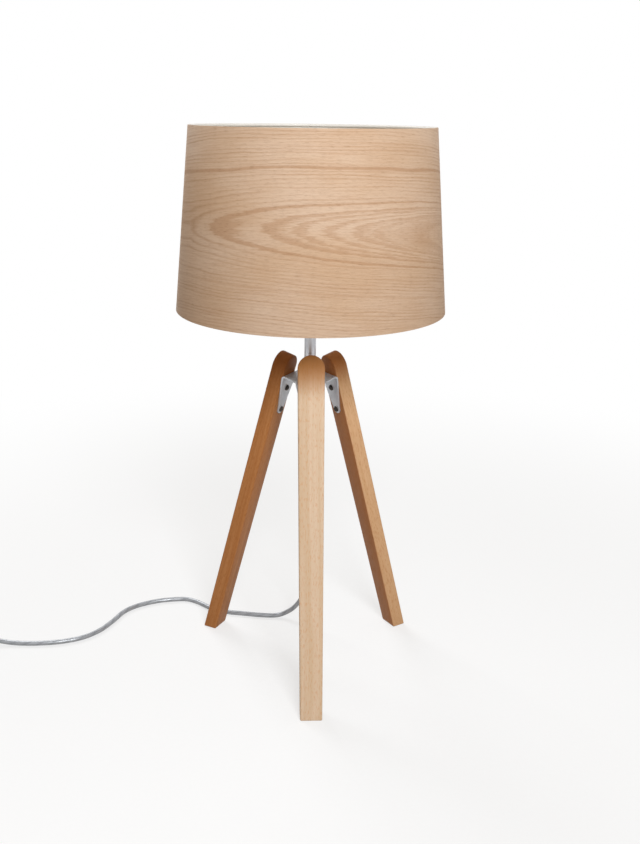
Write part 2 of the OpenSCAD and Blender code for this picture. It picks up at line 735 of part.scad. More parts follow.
// Drawn tipped to one side, as the switch stands when it is off
module switch_rocker() {
    edge_x = sqrt(rocker_r * rocker_r - rocker_rim * rocker_rim);
    color("#2A2A2D") at_switch() translate([0, 0, pivot_z])
        rotate([0, -rocker_swing / 2, 0]) rotate([90, 0, 0]) {
        translate([0, 0, -rocker_w / 2]) linear_extrude(rocker_w) polygon([
            [-edge_x, rocker_rim], [-edge_x, -rocker_foot + 1.5], [-3, -rocker_foot], [3, -rocker_foot],
            [edge_x, -rocker_foot + 1.5], [edge_x, rocker_rim], [0, rocker_dip]
        ]);
        translate([0, 0, -rocker_w / 2 - pivot_l]) cylinder(d = pivot_d, h = rocker_w + 2 * pivot_l);
    }
}

module switch_contacts() {
    blade_l = 14;
    color("#C9A24E") at_switch() for (side = [-1, 1]) translate([side * 12, 0, switch_wall]) {
        translate([-blade_l / 2, -blade_t / 2, 0]) cube([blade_l, blade_t, blade_h]);
        translate([side * (blade_l / 2 - 3) - 2.5, -2.5, 0]) cube([5, 5, 3.5]);
    }
}

module switch_screws() {
    screw_len = 13;
    color("#B9BBC0") at_switch() post_places() {
        translate([0, 0, 0.4]) cylinder(d = switch_screw_head_d, h = 1.6);
        translate([0, 0, 1.9]) cylinder(d = switch_screw_d, h = screw_len);
    }
}

module at_plug() { translate([plug_x, plug_y, plug_t / 2]) children(); }

// Six-sided body, narrow at the cord and square at the pins, with chamfered edges
module plug_body() {
    nose_w = plug_relief_d + 3;
    shoulder_x = plug_l * 0.45;
    color("#1C1C1E") at_plug() difference() {
        hull() for (inset = [0, plug_edge]) translate([0, 0, -plug_t / 2 + plug_edge - inset])
            linear_extrude(plug_t - 2 * plug_edge + 2 * inset) polygon([
                [inset, inset - nose_w / 2], [shoulder_x, inset - plug_w / 2],
                [plug_l - inset, inset - plug_w / 2], [plug_l - inset, plug_w / 2 - inset],
                [shoulder_x, plug_w / 2 - inset], [inset, nose_w / 2 - inset]
            ]);
        for (side = [-1, 1]) translate([plug_l - pin_root - free, side * pin_gap / 2, 0]) rotate([0, 90, 0])
            cylinder(d = pin_d + 2 * fit, h = pin_root + 2 * over);
    }
}

module plug_relief() {
    color("#1C1C1E") at_plug() translate([-plug_relief_l, 0, 0]) rotate([0, 90, 0]) difference() {
        cylinder(d1 = plug_relief_tip_d, d2 = plug_relief_d, h = plug_relief_l);
        translate([0, 0, -over]) cylinder(d = cord_bore, h = cord_socket + over);
    }
}

module plug_pins() {
    color("#C8CACE") at_plug() for (side = [-1, 1]) translate([plug_l - pin_root, side * pin_gap / 2, 0])
        rotate([0, 90, 0]) {
            cylinder(d = pin_d, h = pin_root + pin_l - 1);
            translate([0, 0, pin_root + pin_l - 1]) cylinder(d1 = pin_d, d2 = pin_d - 1.6, h = 1);
        }
}

leg_front();
leg_left();
leg_right();
hub_bracket();
leg_screws();
threaded_tube();
stem_sleeve();
hub_washer();
hub_locknut();
cord_grip();
grip_screw();
cord_relief();
stem_cable();
holder_cap();
holder_body();
holder_insert();
thread_shell();
centre_contact();
terminal_screws();
mains_cores();
shade_ring();
bulb_glass();
bulb_cap();
bulb_insulator();
bulb_contact();
bulb_emitter();
shade_veneer();
shade_lining();
shade_top_ring();
shade_bottom_ring();
shade_spider();
cord_run();
cord_lead();
cord_coil();
cord_tail();
coil_tie();
switch_base();
switch_cover();
switch_rocker();
switch_contacts();
switch_screws();
plug_body();
plug_relief();
plug_pins();
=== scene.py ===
import math

import bmesh
import bpy
from mathutils import Matrix, Vector


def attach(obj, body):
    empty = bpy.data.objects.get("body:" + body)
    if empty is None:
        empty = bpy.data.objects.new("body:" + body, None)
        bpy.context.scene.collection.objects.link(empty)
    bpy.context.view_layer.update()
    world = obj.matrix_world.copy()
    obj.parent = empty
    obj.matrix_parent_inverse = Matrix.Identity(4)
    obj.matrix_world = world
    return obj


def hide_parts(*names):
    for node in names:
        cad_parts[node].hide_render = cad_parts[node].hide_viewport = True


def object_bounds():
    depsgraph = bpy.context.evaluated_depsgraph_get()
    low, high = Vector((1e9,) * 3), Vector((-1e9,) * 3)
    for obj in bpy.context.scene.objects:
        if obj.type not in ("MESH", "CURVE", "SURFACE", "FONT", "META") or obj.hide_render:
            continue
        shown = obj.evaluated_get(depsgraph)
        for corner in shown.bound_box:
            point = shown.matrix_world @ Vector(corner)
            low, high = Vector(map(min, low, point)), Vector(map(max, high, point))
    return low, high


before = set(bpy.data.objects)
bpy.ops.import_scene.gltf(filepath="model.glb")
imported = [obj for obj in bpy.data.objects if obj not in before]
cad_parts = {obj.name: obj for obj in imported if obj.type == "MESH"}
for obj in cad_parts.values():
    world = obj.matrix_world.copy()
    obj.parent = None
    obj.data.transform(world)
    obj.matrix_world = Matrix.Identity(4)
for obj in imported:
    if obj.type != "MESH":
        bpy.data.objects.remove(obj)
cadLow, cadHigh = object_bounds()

mm = 0.001
perMetre = (1000, 1000, 1000)  # millimetres in a metre, on each axis
full = 2 * math.pi
onAxis = 1e-6  # metres: a corner nearer to the axis than this is on it
sameSpot = 1e-7  # metres: corners closer than this are one
sameCadSpot = 1e-6  # the same for a CAD node's corners, which are less exact
tiny = 1e-9
finishes = {}


def colour(code):  # a web colour as the linear one that Blender wants
    parts = [int(code[i:i + 2], 16) / 255 for i in (1, 3, 5)]
    return [c / 12.92 if c <= 0.04045 else ((c + 0.055) / 1.055) ** 2.4 for c in parts] + [1.0]


def addObject(name, data):
    made = bpy.data.objects.new(name, data)
    bpy.context.scene.collection.objects.link(made)
    return made


def meshOf(shape, name):
    mesh = bpy.data.meshes.new(name)
    shape.to_mesh(mesh)
    shape.free()
    return mesh


class Signal:  # a socket; sums of signals and numbers add their Math nodes
    def __init__(self, nodes, socket):
        self.nodes = nodes
        self.socket = socket

    def __add__(self, other):
        return self.nodes.maths("ADD", self, other)

    def __sub__(self, other):
        return self.nodes.maths("SUBTRACT", self, other)

    def __rsub__(self, other):
        return self.nodes.maths("SUBTRACT", other, self)

    def __mul__(self, other):
        return self.nodes.maths("MULTIPLY", self, other)

    def __truediv__(self, other):
        return self.nodes.maths("DIVIDE", self, other)

    def __pow__(self, other):
        return self.nodes.maths("POWER", self, other)

    def __gt__(self, other):
        return self.nodes.maths("GREATER_THAN", self, other)

    def __abs__(self):
        return self.nodes.maths("ABSOLUTE", self)

    __radd__ = __add__
    __rmul__ = __mul__


class Nodes:  # a node tree of a finish or of the world
    def __init__(self, tree):
        self.tree = tree
        self.tree.nodes.clear()

    def node(self, kind, settings, inputs, output=0):
        made = self.tree.nodes.new(kind)
        for name, value in settings.items():
            if name == "stops":
                self.setStops(made.color_ramp, value)
            else:
                setattr(made, name, value)
        for name, value in inputs.items():
            if isinstance(value, Signal):
                self.tree.links.new(value.socket, made.inputs[name])
            else:
                made.inputs[name].default_value = value
        return Signal(self, made.outputs[output]) if made.outputs else None

    def setStops(self, ramp, stops):
        while len(ramp.elements) < len(stops):
            ramp.elements.new(0.5)
        for element, (place, grey) in zip(ramp.elements, stops):
            element.position = place
            element.color = (grey, grey, grey, 1.0)

    def outputs(self, signal):  # every output of a signal's node, by name
        return {out.name: Signal(self, out) for out in signal.socket.node.outputs}

    def maths(self, operation, first, second=0.0):
        return self.node("ShaderNodeMath", {"operation": operation}, {0: first, 1: second})

    def mix(self, factor, first, second):
        pair = [colour(c) if isinstance(c, str) else c for c in (first, second)]
        return self.node("ShaderNodeMix", {"data_type": "RGBA"}, {0: factor, 6: pair[0], 7: pair[1]}, 2)

    def seenRay(self):  # what the camera sees, straight on or in metal and glass
        ray = self.outputs(self.node("ShaderNodeLightPath", {}, {}))
        mirrored = ray["Is Glossy Ray"] + ray["Is Transmission Ray"]
        return self.maths("MAXIMUM", ray["Is Camera Ray"], mirrored)


class Finish(Nodes):  # one material
    def __init__(self, name):
        self.material = bpy.data.materials.new(name)
        self.material.use_nodes = True
        super().__init__(self.material.node_tree)
        finishes[name] = self.material

    def place(self, centre=(0, 0, 0), turned=(0, 0, 0)):  # metres from centre, on axes turned that way
        at = self.node("ShaderNodeTexCoord", {}, {}, "Object")
        return self.node("ShaderNodeMapping", {"vector_type": "TEXTURE"},
                         {"Vector": at, "Location": centre, "Rotation": turned})

    def lay(self):  # the piece's own map
        return self.node("ShaderNodeUVMap", {"uv_map": "lay"}, {})

    def split(self, vector):
        return self.outputs(self.node("ShaderNodeSeparateXYZ", {}, {"Vector": vector})).values()

    def join(self, x, y, z=0.0):
        return self.node("ShaderNodeCombineXYZ", {}, {"X": x, "Y": y, "Z": z})

    def scaled(self, vector, scale):
        return self.node("ShaderNodeVectorMath", {"operation": "MULTIPLY"}, {0: vector, 1: scale})

    def noise(self, vector, scale, detail, roughness=0.5):
        return self.node("ShaderNodeTexNoise", {}, {
            "Vector": vector, "Scale": scale, "Detail": detail, "Roughness": roughness})

    def ease(self, value, low, high, atLow=0.0, atHigh=1.0):
        return self.node("ShaderNodeMapRange", {"interpolation_type": "SMOOTHSTEP"},
                         {0: value, 1: low, 2: high, 3: atLow, 4: atHigh})

    def ramp(self, value, stops):  # greys at places from 0 to 1
        grey = self.node("ShaderNodeValToRGB", {"stops": stops}, {"Fac": value})
        return self.node("ShaderNodeSeparateColor", {}, {"Color": grey})

    def bump(self, height, distance, strength):
        return self.node("ShaderNodeBump", {}, {
            "Height": height, "Distance": distance, "Strength": strength})

    def surface(self, **sockets):
        inputs = {name.replace("_", " "): value for name, value in sockets.items()}
        shader = self.node("ShaderNodeBsdfPrincipled", {}, inputs)
        self.node("ShaderNodeOutputMaterial", {}, {"Surface": shader})


def pointLayer(shape, name):  # a number kept at each corner
    layers = shape.verts.layers.float
    return layers[name] if name in layers else layers.new(name)


def tube(shape, line, radius, sides):  # a round tube along a line of points, closed at both ends
    pointLayer(shape, "along")  # made before any is taken: a new layer voids those already taken
    turn = pointLayer(shape, "turn")
    along = pointLayer(shape, "along")
    line = [Vector(p) for p in line]
    last = len(line) - 1
    ways = [(line[min(i + 1, last)] - line[max(i - 1, 0)]).normalized() for i in range(last + 1)]
    side = ways[0].orthogonal().normalized()
    ring = bmesh.ops.create_circle(shape, segments=sides, radius=radius)["verts"]
    for k, vert in enumerate(ring):
        vert[turn] = k / sides
    frames = []
    for point, way in zip(line, ways):
        side = (side - side.dot(way) * way).normalized()
        axes = Matrix((side, way.cross(side), way)).transposed().to_4x4()
        frames.append(Matrix.Translation(point) @ axes)
    bmesh.ops.transform(shape, matrix=frames[0], verts=ring)
    edges = [e for e in shape.edges if e.verts[0] in ring and e.verts[1] in ring]
    firstEnd = edges
    run = 0.0
    for i in range(last):
        grown = bmesh.ops.extrude_edge_only(shape, edges=edges)["geom"]
        ring = [g for g in grown if isinstance(g, bmesh.types.BMVert)]
        edges = [g for g in grown if isinstance(g, bmesh.types.BMEdge)]
        bmesh.ops.transform(shape, matrix=frames[i + 1] @ frames[i].inverted(), verts=ring)
        run += (line[i + 1] - line[i]).length
        for vert in ring:
            vert[along] = run
    for loop in (firstEnd, edges):
        bmesh.ops.contextual_create(shape, geom=loop)
    return shape


def mapTube(shape):  # metres along, and turns round
    uv = shape.loops.layers.uv.new("lay")
    along = shape.verts.layers.float["along"]
    turn = shape.verts.layers.float["turn"]
    for face in shape.faces:
        turns = [loop.vert[turn] for loop in face.loops]
        wraps = max(turns) - min(turns) > 0.5
        for loop in face.loops:
            t = loop.vert[turn]
            loop[uv].uv = (loop.vert[along], t + 1 if wraps and t < 0.5 else t)


def knot(line, i):  # a point of the line, carried on straight past its two ends
    if i < 0:
        return 2 * line[0] - line[1]
    if i >= len(line):
        return 2 * line[-1] - line[-2]
    return line[i]


def smoothRoute(points, steps):  # the same curve through the points as the solid cord's
    line = [Vector(p) for p in points]
    made = []
    for i in range(len(line) - 1):
        a, b, c, d = (knot(line, i + k) for k in (-1, 0, 1, 2))
        for k in range(steps):
            t = k / steps
            made.append((2 * b + (c - a) * t + (2 * a - 5 * b + 4 * c - d) * t * t
                         + (3 * b - a - 3 * c + d) * t ** 3) / 2)
    return made + [line[-1]]


def bevel(shape, geom, width, affect, segments):
    bmesh.ops.bevel(shape, geom=geom, offset=width * mm, affect=affect, segments=segments,
                    profile=0.5, material=-1, clamp_overlap=True)


def lathe(shape, outline, rounding=0.0, steps=96, closed=True, start=0.0, sweep=full):
    # turns an outline of (radius, height) points in millimetres about the lamp's axis
    verts = [shape.verts.new((r * mm, 0, z * mm)) for r, z in outline]
    pairs = list(zip(verts, verts[1:] + verts[:1] if closed else verts[1:]))
    edges = [shape.edges.new(pair) for pair in pairs]
    if rounding:
        bevel(shape, [v for v in verts if v.co.x > onAxis and len(v.link_edges) == 2], rounding,
              "VERTICES", 2)
        edges = [e for e in shape.edges
                 if not e.link_faces and all(abs(v.co.y) < tiny for v in e.verts)]
        verts = list({v for e in edges for v in e.verts})
    bmesh.ops.rotate(shape, verts=verts, cent=(0, 0, 0), matrix=Matrix.Rotation(start, 3, "Z"))
    whole = abs(sweep - full) < tiny
    bmesh.ops.spin(shape, geom=verts + edges, cent=(0, 0, 0), axis=(0, 0, 1), angle=sweep,
                   steps=steps, use_merge=whole)
    bmesh.ops.remove_doubles(shape, verts=shape.verts, dist=sameSpot)
    return shape


def rounded(shape, width, angle, segments):  # eases the edges that turn by more than the angle
    sharp = [e for e in shape.edges if e.is_manifold and e.calc_face_angle() > math.radians(angle)]
    bevel(shape, sharp, width, "EDGES", segments)


def piece(shape, name, finish, body, replaced=(), smooth=40):
    bmesh.ops.recalc_face_normals(shape, faces=shape.faces)
    if shape.calc_volume(signed=True) < 0:  # the line above left the bulb cap inside out
        bmesh.ops.reverse_faces(shape, faces=shape.faces)
    mesh = meshOf(shape, name)
    mesh.materials.append(finishes[finish])
    mesh.shade_smooth()
    mesh.set_sharp_from_angle(angle=math.radians(smooth))
    made = addObject(name, mesh)
    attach(made, body)
    if replaced:
        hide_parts(*replaced)
    return made


def softCopy(node, width, angle=30, segments=2):  # a CAD node's mesh with eased edges
    shape = bmesh.new()
    shape.from_mesh(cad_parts[node].data)
    bmesh.ops.remove_doubles(shape, verts=shape.verts, dist=sameCadSpot)
    bmesh.ops.dissolve_limit(shape, angle_limit=math.radians(0.5), verts=shape.verts, edges=shape.edges)
    rounded(shape, width, angle, segments)
    return shape


def turnedTo(azimuth):
    return Matrix.Rotation(math.radians(azimuth), 4, "Z")


# the camera stands where the photograph was taken
shot = {"place": (-0.0464, -1.0488, 0.6536), "turn": -0.0442, "pitch": 0.3203, "roll": 0.0127,
        "lens": 40.35, "shift": 0.0128}


def makeCamera():
    camera = addObject("camera", bpy.data.cameras.new("camera"))
    camera.data.lens = shot["lens"]
    camera.data.shift_x = shot["shift"]
    pitch, roll = shot["pitch"], shot["roll"]
    level = Vector((1, 0, 0))
    upward = Vector((0, math.sin(pitch), math.cos(pitch)))
    ahead = Vector((0, math.cos(pitch), -math.sin(pitch)))
    right = math.cos(roll) * level + math.sin(roll) * upward
    top = math.cos(roll) * upward - math.sin(roll) * level
    axes = Matrix((right, top, -ahead)).transposed()
    turned = Matrix.Rotation(shot["turn"], 3, "Z") @ axes
    camera.matrix_world = Matrix.Translation(shot["place"]) @ turned.to_4x4()
    bpy.context.scene.camera = camera


makeCamera()
print("camera set")


# the sheet's figure, in millimetres on the flat sheet: growth rings round a pith that the cut nears
# towards the right, so that each ring closes in a tip on the left
figure = {
    "pith": 367.0, "taper": 0.078, "deepest": 41.0, "axis": 2.5, "tilt": -0.03, "ring": 3.1,
    "streakRing": 65.5, "from": -160.0, "to": 140.0,
    "drift": 9.0, "streakDrift": 6.0, "feather": 34.0, "sway": 4.0,  # how far each noise moves a ring
    "bands": [  # where a ring's tip lies, and how dark it is
        (-160, 0.0), (-154, 0.45), (-146, 0.2), (-123, 0.2), (-118, 0.95), (-98, 0.85), (-84, 0.7),
        (-77, 0.1), (-66, 0.0), (-58, 0.0), (-53, 0.75), (-43, 0.75), (-34, 0.35), (-28, 0.0),
        (-22, 0.7), (-13, 0.5), (-9, 0.0), (3, 0.0), (8, 0.7), (15, 0.5), (19, 0.0), (30, 0.05),
        (35, 0.7), (46, 0.5), (54, 0.1), (58, 0.6), (70, 0.15), (90, 0.4), (122, 0.6), (140, 0.3)],
    "core": (-100.0, -76.0, 4.0, 11.0),  # a dark part that only fills the tip: its rings, how far out
    "coreFade": 3,
    "inside": (-132.0, -124.0, 122.0, 140.0),  # the tips between these make the flame
    "yearLine": [(0.0, 0.05), (0.45, 0.15), (0.78, 1.0), (0.92, 0.5), (1.0, 0.05)],  # through one ring
}


def veneerFigure(veneer, flat):  # how dark the growth rings make each spot
    along, up, _ = veneer.split(flat)
    drift = veneer.noise(veneer.scaled(flat, (0.006, 0.02, 0)), 1.0, 2.0) - 0.5
    across = up - along * figure["tilt"] - figure["axis"] + drift * figure["drift"]
    above = figure["pith"] - along
    depth = veneer.maths("MINIMUM", abs(above) * figure["taper"], figure["deepest"])
    ring = (across ** 2 + depth ** 2) ** 0.5
    feather = veneer.noise(veneer.scaled(flat, (0.03, 0.42, 0)), 1.0, 3.0, 0.6) - 0.5
    tip = figure["pith"] - ring / figure["taper"] + feather * figure["feather"]
    span = figure["to"] - figure["from"]
    flame = veneer.ramp((tip - figure["from"]) / span, [
        ((place - figure["from"]) / span, dark) for place, dark in figure["bands"]])
    first, last, near, far = figure["core"]
    fade = figure["coreFade"]
    core = (veneer.ease(tip, first - fade, first + fade)
            * veneer.ease(tip, last - fade, last + fade, 1.0, 0.0))
    flame = flame * (1 - core * veneer.ease(abs(across), near, far, 0.0, 0.85))
    sway = veneer.noise(veneer.scaled(flat, (0.012, 0.08, 0)), 1.0, 2.0) * figure["sway"]
    count = (ring + sway) / figure["ring"]
    line = veneer.ramp(veneer.maths("FRACT", count), figure["yearLine"])
    vigour = veneer.noise(veneer.join(count * 0.43, along * 0.004), 1.0, 2.0)
    outer = line * veneer.ease(vigour, 0.34, 0.66, 0.12, 0.85)
    streak = veneer.ease(abs(ring + drift * figure["streakDrift"] - figure["streakRing"]), 0.4, 2.4, 1.0, 0.0)
    streak = streak * veneer.ease(across, -6.0, 6.0, 0.4, 1.0)
    start, startFull, endFull, end = figure["inside"]
    inside = veneer.ease(tip, start, startFull) * veneer.ease(tip, endFull, end, 1.0, 0.0)
    return veneer.maths("MAXIMUM", flame * inside + outer * (1 - inside), streak)


def makeVeneer():
    veneer = Finish("veneer")
    flat = veneer.scaled(veneer.lay(), perMetre)
    dark = veneerFigure(veneer, flat)
    fibres = veneer.noise(veneer.scaled(flat, (0.022, 1.3, 0)), 1.0, 3.0, 0.62)
    pores = veneer.noise(veneer.scaled(flat, (0.13, 2.6, 0)), 1.0, 1.0)
    poreMask = veneer.ease(pores, 0.58, 0.68)
    cloud = veneer.noise(veneer.scaled(flat, (0.006, 0.014, 0)), 1.0, 3.0)
    body = veneer.mix(veneer.ease(cloud, 0.3, 0.7), "#DFC7B1", "#D3B598")
    grained = veneer.mix(dark * 0.54, body, "#AB7E58")
    streaked = veneer.mix(veneer.ease(fibres, 0.38, 0.72, 0.0, 0.36), grained, "#BA9171")
    pored = veneer.mix(poreMask * (0.22 + dark * 0.3), streaked, "#9A7350")
    height = fibres * 0.4 - poreMask * 0.8 - dark * 0.3
    veneer.surface(
        Base_Color=pored, Roughness=veneer.ease(fibres, 0.3, 0.7, 0.50, 0.62) + poreMask * 0.1,
        Normal=veneer.bump(height, 0.00012, 0.7), Specular_IOR_Level=0.15)


# a leg in millimetres and degrees, as its solid has it
leg = {"lean": 15.8, "topZ": 372.4, "topWide": 30, "footWide": 25, "thick": 17, "frontRaise": 8,
       "footRadius": 147.02, "edge": 1.3, "domeSteps": 32, "toneAndShadeLong": 46,
       "azimuths": {"front": -90, "left": 150, "right": 30}}


def legAxes(azimuth):  # x across a leg, y up its outer face, z out of that face
    return (turnedTo(azimuth + 90) @ Matrix.Translation((0, -leg["footRadius"] * mm, 0))
            @ Matrix.Rotation(math.radians(90 - leg["lean"]), 4, "X"))


def makeBeech(name, side, light, dark, fleckAndShade, shift, innerShade=0.0):
    # straight-grained beech with the short flecks of its rays; its round top darkens, partly toned lacquer
    # and partly painted shade from the lampshade above, and an inner face can carry painted shade
    beech = Finish(name)
    axes = legAxes(leg["azimuths"][side])
    spot = beech.scaled(beech.place(axes.translation, axes.to_euler()), perMetre)
    x, y, z = beech.split(spot)
    bow = (beech.noise(beech.join(x * 0.012, y * 0.003, z * 0.012 + shift), 1.0, 2.0) - 0.5) * 16.0
    bands = beech.noise(beech.join((x + bow) * 0.16, y * 0.0016, (z + bow) * 0.16 + shift), 1.0, 3.0, 0.6)
    fibres = beech.noise(beech.join(x * 1.1, y * 0.03, z * 1.1 + shift), 1.0, 3.0, 0.6)
    flecks = beech.noise(beech.join(x * 0.8, y * 0.17, z * 0.8 + shift), 1.0, 1.5)
    fleckMask = beech.ease(flecks, 0.52, 0.66)
    cloud = beech.noise(beech.scaled(spot, (0.03, 0.009, 0.03)), 1.0, 2.0)
    body = beech.mix(beech.ease(bands, 0.32, 0.68), light, dark)
    clouded = beech.mix(beech.ease(cloud, 0.35, 0.7, 0.0, 0.3), body, dark)
    fibred = beech.mix(beech.ease(fibres, 0.3, 0.75, 0.0, 0.45), clouded, dark)
    flecked = beech.mix(fleckMask * 0.3, fibred, fleckAndShade)
    height = (leg["topZ"] + leg["topWide"] / 2) / math.cos(math.radians(leg["lean"]))
    # painted shade: the inner face, deepest in z, is darkened as if turned away from the light
    innerFaceShaded = beech.mix(beech.ease(z, -leg["thick"], 0.5 - leg["thick"], innerShade, 0.0), flecked, fleckAndShade)
    # partly painted shade: the last stretch below the round top darkens as if under the lampshade's shadow,
    # partly the lacquer's toned end
    topToneAndShade = beech.mix(beech.ease(y, height - leg["toneAndShadeLong"], height, 0.0, 0.92), innerFaceShaded, fleckAndShade)
    beech.surface(
        Base_Color=topToneAndShade, Roughness=beech.ease(fibres, 0.3, 0.7, 0.40, 0.52) + fleckMask * 0.06,
        Specular_IOR_Level=0.1, Normal=beech.bump(fibres * 0.5 - fleckMask * 0.5, 0.00010, 0.5))


def makeMetal(name, tint, dull, rough, grain, metallic=1.0):
    # plated or bare metal: fine grain and faint smudges
    metal = Finish(name)
    spot = metal.place()
    lines = metal.noise(metal.scaled(spot, grain), 1.0, 3.0, 0.6)
    smudges = metal.noise(spot, 45.0, 3.0)
    tone = metal.mix(metal.ease(smudges, 0.35, 0.75, 0.0, 0.7), tint, dull)
    drawn = metal.ease(lines, 0.3, 0.7, rough - 0.05, rough + 0.05)
    metal.surface(
        Base_Color=metal.mix(metal.ease(lines, 0.4, 0.8, 0.0, 0.3), tone, dull), Metallic=metallic,
        Roughness=drawn + metal.ease(smudges, 0.4, 0.8, 0.0, 0.08),
        Normal=metal.bump(lines, 0.00003, 0.5))


def makePlastic(name, tint, dull, rough, texture, distance, coat=0.0):
    # moulded or coated: fine pits, and smoother streaks of the dull colour
    plastic = Finish(name)
    spot = plastic.place()
    pits = plastic.noise(spot, texture, 2.0, 0.6)
    rubs = plastic.noise(plastic.scaled(spot, (60, 260, 60)), 1.0, 3.0)
    rubbed = plastic.ease(rubs, 0.3, 0.8, rough + 0.04, rough - 0.08)
    plastic.surface(
        Base_Color=plastic.mix(plastic.ease(rubs, 0.5, 0.8, 0.0, 0.6), tint, dull),
        Roughness=rubbed + plastic.ease(pits, 0.4, 0.7, 0.0, 0.05),
        Coat_Weight=coat, Coat_Roughness=0.12, Normal=plastic.bump(pits, distance, 0.6))


def makeSheath():
    # clear sheath over two twisted silver-grey cores
    look = {"lay": 0.034, "cores": 2, "strands": 26.0, "fray": 5.0}  # lay: metres for one turn
    sheath = Finish("sheath")
    along, turn, _ = sheath.split(sheath.lay())
    twist = turn + along / look["lay"]
    swell = sheath.maths("SINE", twist * (look["cores"] * full)) * 0.5 + 0.5
    fray = sheath.noise(sheath.join(along * 130.0, 0.0), 1.0, 2.0) * look["fray"]
    strand = sheath.maths("SINE", twist * (look["strands"] * full) + fray)
    gap = sheath.ease(swell, 0.0, 0.5, 0.3, 0.0)
    core = sheath.mix(strand * 0.12 + 0.3, "#A2A6AC", "#868A91")
    body = sheath.mix(gap, core, "#5A6068")
    smear = sheath.noise(sheath.place(), 160.0, 2.0)
    sheath.surface(
        Base_Color=body, Metallic=0.35, Roughness=sheath.ease(smear, 0.3, 0.7, 0.30, 0.42),
        Coat_Weight=0.5, Coat_Roughness=0.16, Normal=sheath.bump(swell + strand * 0.04, 0.00012, 0.3))


def makeCores():  # brown and blue insulation, either side of the axis
    cores = Finish("cores")
    spot = cores.place()
    x, _, _ = cores.split(spot)
    drawn = cores.noise(cores.scaled(spot, (900, 900, 60)), 1.0, 2.0)
    body = cores.mix(x > 0, "#6E3F22", "#2F5F9E")
    cores.surface(Base_Color=cores.mix(cores.ease(drawn, 0.4, 0.8, 0.0, 0.3), body, "#8C8C8C"),
                  Roughness=cores.ease(drawn, 0.3, 0.7, 0.36, 0.5), Normal=cores.bump(drawn, 0.00003, 0.5))


def makeLining():
    lining = Finish("lining")
    spot = lining.place()
    fibre = lining.noise(lining.scaled(spot, (900, 900, 500)), 1.0, 3.0, 0.65)
    cloud = lining.noise(spot, 18.0, 3.0)
    lining.surface(Base_Color=lining.mix(lining.ease(cloud, 0.3, 0.75), "#F1EFEA", "#E4E1D9"),
                   Roughness=lining.ease(fibre, 0.3, 0.7, 0.62, 0.78),
                   Normal=lining.bump(fibre, 0.00008, 0.5))


def makeOpal():
    opal = Finish("opal")
    spot = opal.place()
    cloud = opal.noise(spot, 30.0, 3.0)
    peel = opal.noise(spot, 260.0, 2.0)
    opal.surface(Base_Color=opal.mix(opal.ease(cloud, 0.3, 0.75), "#F6F3EC", "#ECE7DC"),
                 Roughness=opal.ease(cloud, 0.3, 0.7, 0.20, 0.30), Coat_Weight=0.5, Coat_Roughness=0.06,
                 Normal=opal.bump(peel, 0.00004, 0.3))


def makeStone(name, tint, speck, texture, rough):  # ceramic and phosphor
    stone = Finish(name)
    spot = stone.place()
    specks = stone.noise(spot, texture, 3.0, 0.7)
    stone.surface(Base_Color=stone.mix(stone.ease(specks, 0.55, 0.75, 0.0, 0.7), tint, speck),
                  Roughness=stone.ease(specks, 0.3, 0.7, rough, rough + 0.12),
                  Normal=stone.bump(specks, 0.00005, 0.5))


makeVeneer()
# each leg has its own colours: partly the wood's own tone, partly painted shade, the left leg darkest and
# reddest as the leg turned away from the key light
makeBeech("beechFront", "front", "#E6D0BA", "#D8BD9F", "#D08E50", 0.0)
makeBeech("beechLeft", "left", "#C68C5A", "#B27645", "#A0602F", 31.0)
makeBeech("beechRight", "right", "#E6C099", "#D6AA7E", "#B9733C", 63.0, 0.75)
makeMetal("nickel", "#CDD0D5", "#ADB0B6", 0.50, (500, 500, 90), metallic=0.7)
makeMetal("nickelStem", "#DFE1E6", "#C2C5CB", 0.46, (900, 900, 70), metallic=0.75)
makeMetal("zinc", "#C3C5C8", "#94979C", 0.30, (700, 700, 700))
makeMetal("screwBlack", "#3A3532", "#6A6058", 0.42, (900, 900, 900), metallic=0.85)
makeMetal("brass", "#C9A458", "#8F7136", 0.30, (400, 400, 400))
makeMetal("aluminium", "#C9CACC", "#9FA1A4", 0.36, (300, 300, 900))
makePlastic("blackPlastic", "#1B1B1D", "#2C2C2E", 0.50, 2600.0, 0.00006)
makePlastic("rocker", "#222225", "#38383B", 0.22, 900.0, 0.00001, 0.5)
makePlastic("blackGlass", "#121214", "#232326", 0.16, 500.0, 0.00002, 0.6)
makePlastic("powder", "#E6E5E1", "#D2D0CA", 0.42, 1300.0, 0.00008, 0.1)
makeSheath()
makeCores()
makeLining()
makeOpal()
makeStone("ceramic", "#E4DFD3", "#B9B1A0", 1400.0, 0.62)
makeStone("phosphor", "#E6C858", "#F3E49A", 1800.0, 0.6)
print("finishes made:", len(finishes))

